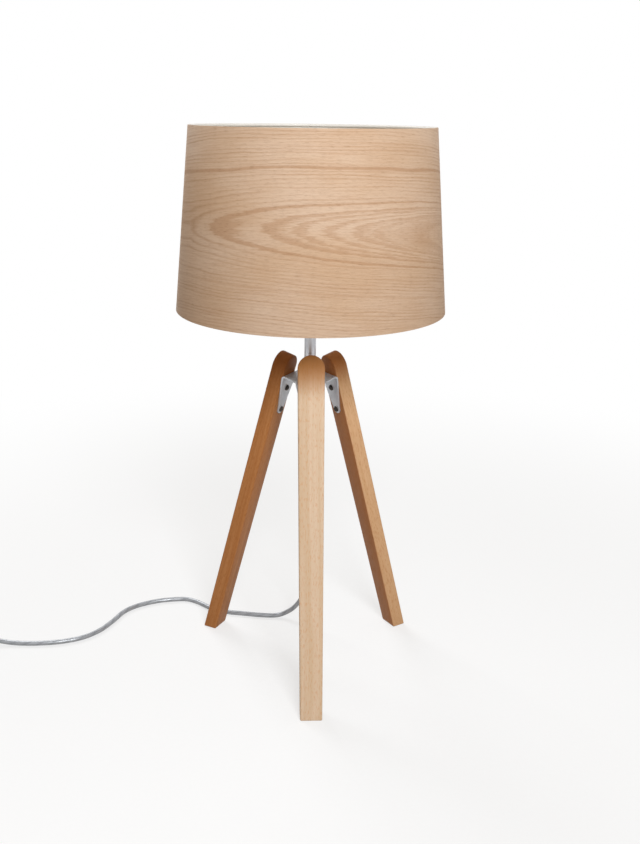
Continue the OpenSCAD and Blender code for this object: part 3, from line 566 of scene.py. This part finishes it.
# the cord's routes as its solids have them, in millimetres; its radius in metres
cord = {
    "radius": 0.003, "sides": 20, "steps": 5,
    "run": [
        [0, 0, 311.5], [0, 0, 303], [0, 0, 294], [1, 2, 276], [4, 6, 252], [8, 11, 228], [13, 17, 200],
        [17, 25, 168], [18, 34, 135], [15, 44, 102], [8, 55, 70], [-2, 66, 42], [-13, 75, 20], [-27, 81, 7],
        [-41, 82, 3.1], [-62, 84, 3.1], [-82, 88, 3.1], [-102, 92, 3.1], [-118, 98, 3.1], [-131, 107, 3.1],
        [-147, 121, 3.1], [-164, 129, 3.1], [-190, 127, 3.1], [-210, 121, 3.1], [-230, 110, 3.1],
        [-244, 95, 3.1], [-255, 71, 3.1], [-269, 47, 3.1], [-289, 30, 3.1], [-315, 21, 3.1],
        [-345, 18, 3.1], [-370, 19, 3.4], [-390, 21, 5.4], [-406, 22, 8], [-420, 22, 9], [-427, 22, 9],
        [-434, 22, 9]],
    "lead": [
        [-486, 22, 9], [-492, 22, 9], [-498, 22, 9], [-508, 20, 8.2], [-516, 14, 7], [-521, 6, 5.8],
        [-523, -4, 4.7], [-523, -16, 4], [-523, -28, 3.7], [-523, -40, 3.7], [-523, -46, 3.7],
        [-523, -52, 3.7]],
    "tail": [
        [-479, -96, 10.3], [-474, -96, 10.3], [-469, -96, 10.3], [-461, -97, 9.5], [-454, -98, 8.2],
        [-447, -98, 7.2], [-444, -98, 7], [-442, -98, 7], [-440, -98, 7]],
    "coil": {"centre": (-485, -58), "radius": 38, "pitch": 6.6, "turns": 4.25, "start": 180, "low": 3.7,
             "climb": 0.5, "points": 48},
}


def inMetres(points):
    return [Vector(p) * mm for p in points]


def coilLine():  # spirals in on the lower layer and out again on the upper one
    c = cord["coil"]
    line = []
    for i in range(int(c["turns"] * c["points"]) + 1):
        turn = i / c["points"]
        past = turn - c["turns"] / 2
        radius = c["radius"] - c["pitch"] * (c["turns"] / 2 - abs(past))
        rise = c["pitch"] * max(0.0, min(1.0, 0.5 + past / c["climb"]))
        a = math.radians(c["start"] + 360 * turn)
        line.append(Vector((c["centre"][0] + radius * math.cos(a), c["centre"][1] + radius * math.sin(a),
                            c["low"] + rise)) * mm)
    return line


def cordPiece(name, line, replaced):
    lowX, lowZ = cadLow[0] + cord["radius"], cadLow[2] + cord["radius"]
    line = [Vector((max(p.x, lowX), p.y, max(p.z, lowZ))) for p in line]  # kept inside the CAD box
    shape = tube(bmesh.new(), line, cord["radius"], cord["sides"])
    mapTube(shape)
    return piece(shape, name, "sheath", "stand", replaced)


runLine = smoothRoute(inMetres(cord["run"]), cord["steps"])
leadLine = smoothRoute(inMetres(cord["lead"]), cord["steps"])
tailLine = smoothRoute(inMetres(cord["tail"]), cord["steps"])
storedLine = leadLine + coilLine() + tailLine
cordRun = cordPiece("cordRun", runLine, ["cord_run"])
cordStored = cordPiece("cordStored", storedLine, ["cord_lead", "cord_coil", "cord_tail"])


def lineLength(line):
    return sum((b - a).length for a, b in zip(line, line[1:]))


print("cord lengths", round(lineLength(runLine), 4), round(lineLength(storedLine), 4))


def wave(shape, low, high, inner, depth, pitch, flutes, fade=1.5):
    # presses a thread into the wall between two heights, or flutes where they have a number
    for vert in shape.verts:
        x, y, z = vert.co
        radius = math.hypot(x, y)
        if radius < inner * mm or not low * mm < z < high * mm:
            continue
        angle = math.atan2(y, x)
        ends = min(1.0, (z - low * mm) / (fade * mm), (high * mm - z) / (fade * mm))
        phase = flutes * angle if flutes else full * z / (pitch * mm) - angle
        dip = depth * mm * ends * (0.5 - 0.5 * math.cos(phase)) / radius
        vert.co.x -= x * dip
        vert.co.y -= y * dip


def rows(radius, low, high, step):  # the heights of a wall that is pressed later
    count = round((high - low) / step)
    return [(radius, low + (high - low) * i / count) for i in range(count + 1)]


# radii, heights and thicknesses in millimetres
shade = {"bottom": 149.94, "top": 131.94, "foot": 441, "height": 195, "veneer": 0.8, "lining": 0.5,
         "seam": 0.35, "wire": 1.5, "wireSides": 16, "gap": 0.05, "inset": 0.2, "steps": 240, "middle": 540}
shade["slope"] = (shade["bottom"] - shade["top"]) / shade["height"]
shade["slant"] = math.hypot(1, shade["slope"])
shade["topWireZ"] = shade["foot"] + shade["height"] - shade["wire"] - shade["inset"]
shade["footWireZ"] = shade["foot"] + shade["wire"] + shade["inset"]


def shadeRadius(z):
    return shade["bottom"] - (z - shade["foot"]) * shade["slope"]


def shadeWall(inset, thick):
    low, high = shade["foot"], shade["foot"] + shade["height"]
    return [(shadeRadius(low) - inset - thick, low), (shadeRadius(low) - inset, low),
            (shadeRadius(high) - inset, high), (shadeRadius(high) - inset - thick, high)]


def mapVeneer(shape):  # the sheet as it was cut, laid flat: a cone's wall unrolls to a curved strip
    uv = shape.loops.layers.uv.new("lay")
    apex = (shade["foot"] + shade["bottom"] / shade["slope"]) * mm
    middle = (apex - shade["middle"] * mm) * shade["slant"]
    for face in shape.faces:
        for loop in face.loops:
            x, y, z = loop.vert.co
            reach = (apex - z) * shade["slant"]
            swing = math.atan2(x, -y) * shade["slope"] / shade["slant"]
            loop[uv].uv = (reach * math.sin(swing), middle - reach * math.cos(swing))


def wireRadius(z):  # to the middle of a wire ring that lies against the lining
    return (shadeRadius(z) - shade["veneer"] - shade["lining"] - shade["gap"]
            - shade["wire"] * shade["slant"])


def wireOutline(z):
    angles = [full * i / shade["wireSides"] for i in range(shade["wireSides"])]
    return [(wireRadius(z) + shade["wire"] * math.cos(a), z + shade["wire"] * math.sin(a)) for a in angles]


def makeShade():
    gap = shade["seam"] / shade["bottom"]
    wall = lathe(bmesh.new(), shadeWall(0, shade["veneer"]), 0.12, shade["steps"],
                 start=math.radians(90) + gap / 2, sweep=full - gap)
    bmesh.ops.holes_fill(wall, edges=[e for e in wall.edges if e.is_boundary], sides=0)
    mapVeneer(wall)
    piece(wall, "shadeVeneer", "veneer", "shade", ["shade_veneer"])
    inside = lathe(bmesh.new(), shadeWall(shade["veneer"], shade["lining"]), 0.1, shade["steps"])
    piece(inside, "shadeLining", "lining", "shade", ["shade_lining"])
    for name, node, z in (("shadeTopRing", "shade_top_ring", shade["topWireZ"]),
                          ("shadeBottomRing", "shade_bottom_ring", shade["footWireZ"])):
        wire = lathe(bmesh.new(), wireOutline(z), steps=shade["steps"])
        piece(wire, name, "powder", "shade", [node])


spider = {"outer": 32, "bore": 20, "low": 478.1, "high": 479.6, "round": 0.35, "root": 30, "arm": 2,
          "armShort": 0.7, "bead": 2.0, "beadForm": (1.3, 0.9, 0.75, 1), "beadShort": 1.2,
          "azimuths": (90, 210, 330)}


def makeSpider():
    shape = lathe(bmesh.new(), [
        (spider["bore"], spider["low"]), (spider["outer"], spider["low"]),
        (spider["outer"], spider["high"]), (spider["bore"], spider["high"])], spider["round"])
    footZ = shade["footWireZ"]
    tip = wireRadius(footZ)
    rootZ = (spider["low"] + spider["high"]) / 2
    root = Vector((spider["root"], 0, rootZ)) * mm
    end = Vector((tip - spider["armShort"], 0, footZ)) * mm
    for azimuth in spider["azimuths"]:
        turn = turnedTo(azimuth)
        tube(shape, [turn @ p for p in (root, root.lerp(end, 0.5), end)], spider["arm"] * mm, 16)
        for spot in (root, Vector((tip - spider["beadShort"], 0, footZ)) * mm):  # weld beads
            bead = Matrix.Translation(turn @ spot) @ turn @ Matrix.Diagonal(spider["beadForm"])
            bmesh.ops.create_icosphere(shape, subdivisions=2, radius=spider["bead"] * mm, matrix=bead)
    piece(shape, "shadeSpider", "powder", "shade", ["shade_spider"])


makeShade()
makeSpider()
print("shade made")


def makeLeg(side, raised, replaced):
    azimuth = leg["azimuths"][side]
    top = (leg["topZ"] + raised) / math.cos(math.radians(leg["lean"]))
    wide = leg["topWide"] / 2
    narrow = leg["footWide"] / 2 - leg["thick"] * (leg["topWide"] - leg["footWide"]) / 2 / top
    shape = bmesh.new()
    first = shape.verts.new((-wide * mm, top * mm, 0))
    dome = bmesh.ops.spin(shape, geom=[first], cent=(0, top * mm, 0), axis=(0, 0, 1), angle=-math.pi,
                          steps=leg["domeSteps"], use_merge=False)
    last = [g for g in dome["geom_last"] if isinstance(g, bmesh.types.BMVert)][0]
    sole = [shape.verts.new((x * mm, -leg["thick"] * mm, 0)) for x in (narrow, -narrow)]
    for pair in ((last, sole[0]), (sole[0], sole[1]), (sole[1], first)):
        shape.edges.new(pair)
    bmesh.ops.contextual_create(shape, geom=shape.edges[:])
    grown = bmesh.ops.extrude_face_region(shape, geom=shape.faces[:])["geom"]
    bmesh.ops.translate(shape, verts=[g for g in grown if isinstance(g, bmesh.types.BMVert)],
                        vec=(0, 0, -leg["thick"] * mm))
    bmesh.ops.transform(shape, matrix=legAxes(azimuth), verts=shape.verts)
    bmesh.ops.bisect_plane(shape, geom=shape.verts[:] + shape.edges[:] + shape.faces[:], plane_co=(0, 0, 0),
                           plane_no=(0, 0, -1), clear_outer=True)
    bmesh.ops.holes_fill(shape, edges=[e for e in shape.edges if e.is_boundary], sides=0)
    rounded(shape, leg["edge"], 35, 3)
    piece(shape, "leg" + side.title(), "beech" + side.title(), "stand", [replaced])


makeLeg("front", leg["frontRaise"], "leg_front")
makeLeg("left", 0, "leg_left")
makeLeg("right", 0, "leg_right")
print("legs made")

hub = {"top": 361, "sheet": 2, "bend": 4, "reach": 24.155, "wide": 17, "tip": 6, "taperEnd": 43.458,
       "edge": 0.35, "bendSteps": 8, "tipSteps": 6, "tipHalf": 0.02, "sameSpot": 0.05}


def makeBracket():
    # one sheet: a plate whose three arms bend down along the legs, narrowing to round ends
    shape = bmesh.new()
    lean = math.radians(leg["lean"])
    down = Vector((0, -math.sin(lean), -math.cos(lean)))
    bendMiddle = (0, -hub["reach"] * mm, (hub["top"] - hub["bend"]) * mm)
    arc = [math.pi / 2 * i / hub["tipSteps"] for i in range(hub["tipSteps"] + 1)]
    places = [(hub["taperEnd"] * t, hub["wide"] + (hub["tip"] - hub["wide"]) * t)  # run, half width
              for t in (0.25, 0.5, 0.75)]
    places += [(hub["taperEnd"] + hub["tip"] * math.sin(a), hub["tip"] * math.cos(a)) for a in arc]
    corners = []
    for azimuth in leg["azimuths"].values():
        turn = turnedTo(azimuth + 90)
        start = [shape.verts.new(Vector((x, -hub["reach"], hub["top"])) * mm)
                 for x in (-hub["wide"], hub["wide"])]
        edge = shape.edges.new(start)
        bend = bmesh.ops.spin(shape, geom=start + [edge], cent=bendMiddle, axis=(1, 0, 0),
                              angle=math.pi / 2 - lean, steps=hub["bendSteps"], use_merge=False)
        edge = [g for g in bend["geom_last"] if isinstance(g, bmesh.types.BMEdge)][0]
        root = sum((v.co for v in edge.verts), Vector()) / 2
        before = set(shape.verts)
        for run, half in places:
            grown = bmesh.ops.extrude_edge_only(shape, edges=[edge])["geom"]
            edge = [g for g in grown if isinstance(g, bmesh.types.BMEdge)
                    and all(v not in before for v in g.verts)][0]
            for vert in edge.verts:
                side = 1 if vert.co.x > 0 else -1
                vert.co = root + down * run * mm + Vector((side * max(half, hub["tipHalf"]) * mm, 0, 0))
            before = set(shape.verts)
        arm = [v for v in shape.verts if not v.tag]
        bmesh.ops.transform(shape, matrix=turn, verts=arm)
        for vert in shape.verts:  # marks this arm as turned
            vert.tag = True
        corners += start
    corners.sort(key=lambda v: math.atan2(v.co.y, v.co.x))
    shape.faces.new(corners)
    bmesh.ops.remove_doubles(shape, verts=shape.verts, dist=hub["sameSpot"] * mm)
    bmesh.ops.recalc_face_normals(shape, faces=shape.faces)
    plate = max(shape.faces, key=lambda f: f.calc_area())
    if plate.normal.z < 0:
        bmesh.ops.reverse_faces(shape, faces=shape.faces)
    bmesh.ops.solidify(shape, geom=shape.faces[:], thickness=hub["sheet"] * mm)
    bmesh.ops.recalc_face_normals(shape, faces=shape.faces)
    rounded(shape, hub["edge"], 50, 2)
    piece(shape, "hubBracket", "nickel", "stand", ["hub_bracket"])


# the turned pieces: node, finish, slot, rounding, and outline in millimetres from axis and floor
turned = {
    "stemSleeve": ("stem_sleeve", "nickelStem", "satin_nickel", 0.4, [
        (5.25, 361), (6.5, 361), (6.5, 446), (5.25, 446)]),
    "hubWasher": ("hub_washer", "zinc", "zinc_steel", 0.35, [
        (5.25, 357.5), (10, 357.5), (10, 359), (5.25, 359)]),
    "cordGrip": ("cord_grip", "blackPlastic", "black_plastic", 0.5, [
        (3.1, 336.5), (7.4, 336.5)] + rows(7.4, 339, 352, 1.0) + [
        (7.4, 354.5), (5.05, 354.5), (5.05, 345.8), (3.1, 345.8)]),
    "cordRelief": ("cord_relief", "blackPlastic", "black_plastic", 0.25, [
        (3.1, 311.5), (3.8, 311.5)] + [
        (3.85 + 0.048 * (z - 311.5) - dip, z) for i in range(6)  # six ribs on a taper
        for z, dip in ((313.2 + 3.4 * i, 0), (313.6 + 3.4 * i, 0.55),
                       (315.0 + 3.4 * i, 0.55), (315.4 + 3.4 * i, 0))] + [
        (4.95, 336.5), (3.1, 336.5)]),
    "holderCap": ("holder_cap", "blackPlastic", "black_plastic", 0.5, [
        (5.05, 446), (11, 446), (12, 447), (13.5, 454), (19.05, 460), (20.5, 462.5),
        (20.5, 463.2)] + rows(20.5, 464, 469, 1.0) + [
        (20.5, 470), (18.25, 470), (18.25, 463.5), (11.5, 456.5), (5.05, 456.5)]),
    "holderBody": ("holder_body", "blackPlastic", "black_plastic", 0.25, [
        (17.45, 466), (18.2, 466), (18.2, 470.05), (19.75, 470.05), (19.75, 475.5), (24, 475.5),
        (24, 478)] + rows(19.75, 478, 502, 0.4) + [(14.5, 502), (14.5, 500.2), (17.45, 500.2)]),
    "threadShell": ("thread_shell", "brass", "contact_brass", 0.0, [
        (13.3, 474)] + rows(14, 474, 500.1, 0.45) + rows(13.3, 500.1, 474, 0.45)[:-1]),
    "bulbCap": ("bulb_cap", "aluminium", "bulb_metal", 0.0, [
        (12.8, 482)] + rows(13.2, 482, 504, 0.45) + rows(12.8, 504, 482, 0.45)[:-1]),
    "bulbInsulator": ("bulb_insulator", "blackGlass", "bulb_insulator_black", 0.0, [
        (0, 478.5), (5.5, 478.5), (8.5, 479.9), (12.0, 481.6), (12.2, 482), (0, 482)]),
    "bulbContact": ("bulb_contact", "aluminium", "bulb_metal", 0.0, [
        (0, 477), (3.2, 477.1), (4.2, 477.5), (4.8, 478.5), (0, 478.5)]),
}
pressed = {  # low, high, inner radius, depth, pitch, flutes
    "cordGrip": (339, 352, 7.0, 0.45, 1, 20),
    "holderCap": (463.4, 469.4, 20.0, 0.45, 1, 40),
    "holderBody": (479, 501, 19.0, 0.6, 2.2, 0),
    "threadShell": (475, 499.5, 13.0, -0.5, 3.63, 0),
    "bulbCap": (483.5, 500.5, 12.0, 0.75, 3.63, 0),
}
onBulb = ("bulbCap", "bulbInsulator", "bulbContact")
plainSteps, flutedSteps = 96, 160


def makeTurned():
    for name, (node, finish, slotName, rounding, outline) in turned.items():
        press = pressed.get(name)
        steps = flutedSteps if press and press[-1] else plainSteps
        shape = lathe(bmesh.new(), outline, rounding, steps, closed=outline[0][0] > 0)
        if press:
            wave(shape, *press)
        piece(shape, name, finish, "bulb" if name in onBulb else "stand", [node])


makeBracket()
makeTurned()
piece(softCopy("hub_locknut", 0.35), "hubLocknut", "zinc", "stand", ["hub_locknut"])

shadeRing = {"outer": 27, "bore": 19.8, "low": 479.7, "high": 486.7, "row": 0.9, "flutes": 24,
             "depth": 0.9}


def makeShadeRing():
    bore, outer, row = shadeRing["bore"], shadeRing["outer"], shadeRing["row"]
    low, high = shadeRing["low"], shadeRing["high"]
    outline = ([(bore, low), (outer, low)] + rows(outer, low + row, high - row, row)
               + [(outer, high), (bore, high)])
    shape = lathe(bmesh.new(), outline, 0.4, 240)
    wave(shape, low - 1, high + 1, outer - 1.5, shadeRing["depth"], 1, shadeRing["flutes"], 0.5)
    piece(shape, "shadeRing", "blackPlastic", "shade_ring", ["shade_ring"])


bulb = {"radius": 30, "middle": 552, "shoulder": 48, "neck": 12.75, "neckTop": 506, "neckFoot": 500,
        "wall": 1.0, "arcSteps": 28, "neckSteps": 5}


def glassLine(inset):  # from the crown down the ball and the shoulder to the end of the neck
    radius, neck = bulb["radius"] - inset, bulb["neck"] - inset
    arc, steps = bulb["arcSteps"], bulb["neckSteps"]
    angles = [math.radians(90 - i * (90 + bulb["shoulder"]) / arc) for i in range(arc + 1)]
    ball = [(radius * math.cos(a), bulb["middle"] + radius * math.sin(a)) for a in angles]
    ball[0] = (0.0, bulb["middle"] + radius)
    x, z = ball[-1]
    waist = ((x + neck) / 2 - 1, z - 9)
    knots = [ball[-2], (x, z), waist, (neck, bulb["neckTop"]), (neck, bulb["neckFoot"])]
    neckLine = smoothRoute([(r, h, 0) for r, h in knots], steps)[steps + 1:]  # past the ball's last point
    return ball + [(p.x, p.y) for p in neckLine]


def makeBulb():
    outline = glassLine(0) + glassLine(bulb["wall"])[::-1]
    piece(lathe(bmesh.new(), outline, closed=False), "bulbGlass", "opal", "bulb",
          ["bulb_glass"], 60)


makeShadeRing()
makeBulb()
print("stem, lampholder and bulb made")

inner = {
    "cable": [(0, 0, 311.5), (0, 0, 360), (0, 0, 410), (0, 0, 458)],
    "core": 1.1, "coreSides": 12, "coreSteps": 4,
    "coreLine": [(1.5, 459.1), (2.6, 460.6), (4.6, 462), (6.4, 463.1), (7.5, 464.2)],  # x and z, each side
}


def makeInnerCords():
    shape = tube(bmesh.new(), inMetres(inner["cable"]), cord["radius"], cord["sides"])
    mapTube(shape)
    piece(shape, "stemCable", "sheath", "stand", ["stem_cable"])
    shape = bmesh.new()
    for side in (-1, 1):
        route = smoothRoute(inMetres((side * x, 0, z) for x, z in inner["coreLine"]), inner["coreSteps"])
        tube(shape, route, inner["core"] * mm, inner["coreSides"])
    piece(shape, "mainsCores", "cores", "stand", ["mains_cores"])


makeInnerCords()
print("inner cable and cores made")

tie = {"inner": 19.975, "outer": 42.0, "low": 0.6, "high": 13.4, "wide": 5, "thick": 0.45,
       "round": 2.6, "edge": 0.12, "azimuth": 60}


def makeTie():
    shape = bmesh.new()
    corners = [(tie["inner"], tie["low"]), (tie["outer"], tie["low"]), (tie["outer"], tie["high"]),
               (tie["inner"], tie["high"])]
    verts = [shape.verts.new((r * mm, -tie["wide"] / 2 * mm, z * mm)) for r, z in corners]
    for pair in zip(verts, verts[1:] + verts[:1]):
        shape.edges.new(pair)
    bevel(shape, verts, tie["round"], "VERTICES", 5)
    grown = bmesh.ops.extrude_edge_only(shape, edges=shape.edges[:])["geom"]
    bmesh.ops.translate(shape, verts=[g for g in grown if isinstance(g, bmesh.types.BMVert)],
                        vec=(0, tie["wide"] * mm, 0))
    bmesh.ops.recalc_face_normals(shape, faces=shape.faces)
    bmesh.ops.solidify(shape, geom=shape.faces[:], thickness=-tie["thick"] * mm)
    centre = cord["coil"]["centre"]
    bmesh.ops.transform(shape, verts=shape.verts, matrix=Matrix.Translation(
        (centre[0] * mm, centre[1] * mm, 0)) @ turnedTo(tie["azimuth"]))
    rounded(shape, tie["edge"], 50, 2)
    return piece(shape, "coilTie", "blackPlastic", "stand", ["coil_tie"])


switchParts = {  # node, how far its edges are eased and past which angle, finish, body, slot
    "switchBase": ("switch_base", 0.5, 40, "blackPlastic", "stand", "black_plastic"),
    "switchCover": ("switch_cover", 0.6, 40, "blackPlastic", "stand", "black_plastic"),
    "switchRocker": ("switch_rocker", 0.5, 25, "rocker", "rocker", "rocker_plastic"),
}
switchPieces = [piece(softCopy(node, width, angle), name, finish, body, [node])
                for name, (node, width, angle, finish, body, slotName) in switchParts.items()]

plug = {"x": -422, "y": -98, "z": 7, "reliefLong": 22, "tip": 4.0, "root": 5.5, "bore": 3.1,
        "rib": 3.8, "ribDip": 0.7, "ribCount": 5, "bodyLong": 34, "pin": 2.0, "pinCore": 1.75,
        "pinGap": 19, "pinLong": 19, "pinInside": 9, "sleeve": 10, "sleeveBore": 1.8, "sleeveInside": 2}


def alongX(shape, x, y, z):  # a piece turned about the lamp's axis, laid down along +X
    lay = Matrix.Translation((x * mm, y * mm, z * mm)) @ Matrix.Rotation(math.pi / 2, 4, "Y")
    bmesh.ops.transform(shape, matrix=lay, verts=shape.verts)


def makePlug():
    body = softCopy("plug_body", 0.9, 20, segments=3)
    pieces = [piece(body, "plugBody", "blackPlastic", "stand", ["plug_body"])]
    taper = (plug["root"] - plug["tip"]) / plug["reliefLong"]
    rib, ribDip = plug["rib"], plug["ribDip"]
    ribs = [(plug["tip"] + taper * z - dip, z) for i in range(plug["ribCount"])
            for z, dip in ((1.6 + rib * i, 0), (2.0 + rib * i, ribDip), (3.6 + rib * i, ribDip),
                           (4.0 + rib * i, 0))]
    relief = lathe(bmesh.new(), [(plug["bore"], 0), (plug["tip"], 0)] + ribs
                   + [(plug["root"], plug["reliefLong"]), (plug["bore"], plug["reliefLong"])], 0.25)
    alongX(relief, plug["x"] - plug["reliefLong"], plug["y"], plug["z"])
    pieces.append(piece(relief, "plugRelief", "blackPlastic", "stand", ["plug_relief"]))
    pins, sleeves = bmesh.new(), bmesh.new()
    start = plug["x"] + plug["bodyLong"]
    pin, core, long, sleeve = plug["pin"], plug["pinCore"], plug["pinLong"], plug["sleeve"]
    rodLine = [(0, -plug["pinInside"]), (core, -plug["pinInside"]), (core, sleeve), (pin, sleeve + 0.3),
               (pin, long - 1.6), (core, long - 0.7), (1.2, long - 0.15), (0, long)]
    collarLine = [(plug["sleeveBore"], -plug["sleeveInside"]), (pin, -plug["sleeveInside"]),
                  (pin, sleeve), (plug["sleeveBore"], sleeve)]
    for side in (-1, 1):
        rod = lathe(bmesh.new(), rodLine, 0.0, 32, closed=False)
        collar = lathe(bmesh.new(), collarLine, 0.05, 32)
        for made, whole in ((rod, pins), (collar, sleeves)):
            alongX(made, start, plug["y"] + side * plug["pinGap"] / 2, plug["z"])
            mesh = meshOf(made, "part")
            whole.from_mesh(mesh)
            bpy.data.meshes.remove(mesh)
    pieces.append(piece(pins, "plugPins", "zinc", "stand", ["plug_pins"]))
    pieces.append(piece(sleeves, "plugPinSleeves", "blackPlastic", "stand"))
    return pieces


coilTie = makeTie()
plugPieces = makePlug()
print("switch, plug and tie made")

bare = {  # CAD nodes that keep their own shape
    "leg_screws": "screwBlack", "threaded_tube": "zinc", "grip_screw": "zinc", "holder_insert": "ceramic",
    "centre_contact": "brass", "terminal_screws": "brass", "bulb_emitter": "phosphor",
    "switch_contacts": "brass", "switch_screws": "zinc",
}
for node, finish in bare.items():
    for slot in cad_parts[node].material_slots:
        slot.material = finishes[finish]

lineLength(runLine)
lineLength(storedLine)

stage = {"floorSize": 12.0, "floorZ": -0.0003, "near": 0.35, "far": 1.3, "lift": 0.62,
         "bounce": "#9C8F80", "ambient": 0.29, "warmth": "#FFF0DC"}


def makeFloor():
    # pale paper that turns to plain white further off; the lamp gets a softer bounce than the eye does
    sheet = Finish("floor")
    x, y, _ = sheet.split(sheet.place())
    away = (x * x + y * y) ** 0.5
    grain = sheet.noise(sheet.place(), 240.0, 3.0)
    paper = sheet.mix(grain, "#F8FBFF", "#F3F6FA")
    matt = sheet.node("ShaderNodeBsdfDiffuse", {}, {"Color": paper})
    glow = sheet.node("ShaderNodeEmission", {}, {"Color": (1, 1, 1, 1), "Strength": 1.0})
    white = sheet.ease(away, stage["near"], stage["far"], stage["lift"], 1.0)
    shown = sheet.node("ShaderNodeMixShader", {}, {0: white, 1: matt, 2: glow})
    bounce = sheet.node("ShaderNodeBsdfDiffuse", {}, {"Color": colour(stage["bounce"])})
    both = sheet.node("ShaderNodeMixShader", {}, {0: sheet.seenRay(), 1: bounce, 2: shown})
    sheet.node("ShaderNodeOutputMaterial", {}, {"Surface": both})
    shape = bmesh.new()
    bmesh.ops.create_grid(shape, x_segments=8, y_segments=8, size=stage["floorSize"] / 2)
    bmesh.ops.translate(shape, verts=shape.verts, vec=(0, 0, stage["floorZ"]))
    mesh = meshOf(shape, "floor")
    mesh.materials.append(sheet.material)
    floor = addObject("floor", mesh)


# watts, metres across, degrees round and up, metres off, and the height that it looks at
lamps = {
    "keyLight": {"power": 52, "size": 0.9, "round": -79, "up": 32, "off": 2.6, "aim": 0.38},
    "backLight": {"power": 30, "size": 1.3, "round": 122, "up": 40, "off": 2.6, "aim": 0.38},
}


def makeLights():
    for name, facts in lamps.items():
        light = bpy.data.lights.new(name, "AREA")
        light.energy = facts["power"]
        light.size = facts["size"]
        lamp = addObject(name, light)
        around, up = math.radians(facts["round"]), math.radians(facts["up"])
        way = Vector((math.cos(up) * math.cos(around), math.cos(up) * math.sin(around), math.sin(up)))
        lamp.location = Vector((0, 0, facts["aim"])) + facts["off"] * way
        lamp.rotation_euler = way.to_track_quat("Z", "Y").to_euler()
    world = bpy.data.worlds.new("studio")
    bpy.context.scene.world = world
    world.use_nodes = True
    sky = Nodes(world.node_tree)
    seen = sky.seenRay()
    strength = seen * (1 - stage["ambient"]) + stage["ambient"]
    tint = sky.mix(seen, stage["warmth"], "#FFFFFF")
    background = sky.node("ShaderNodeBackground", {}, {"Color": tint, "Strength": strength})
    sky.node("ShaderNodeOutputWorld", {}, {"Surface": background})


makeFloor()
makeLights()
bpy.context.scene.view_settings.view_transform = "Standard"
print("stage set")
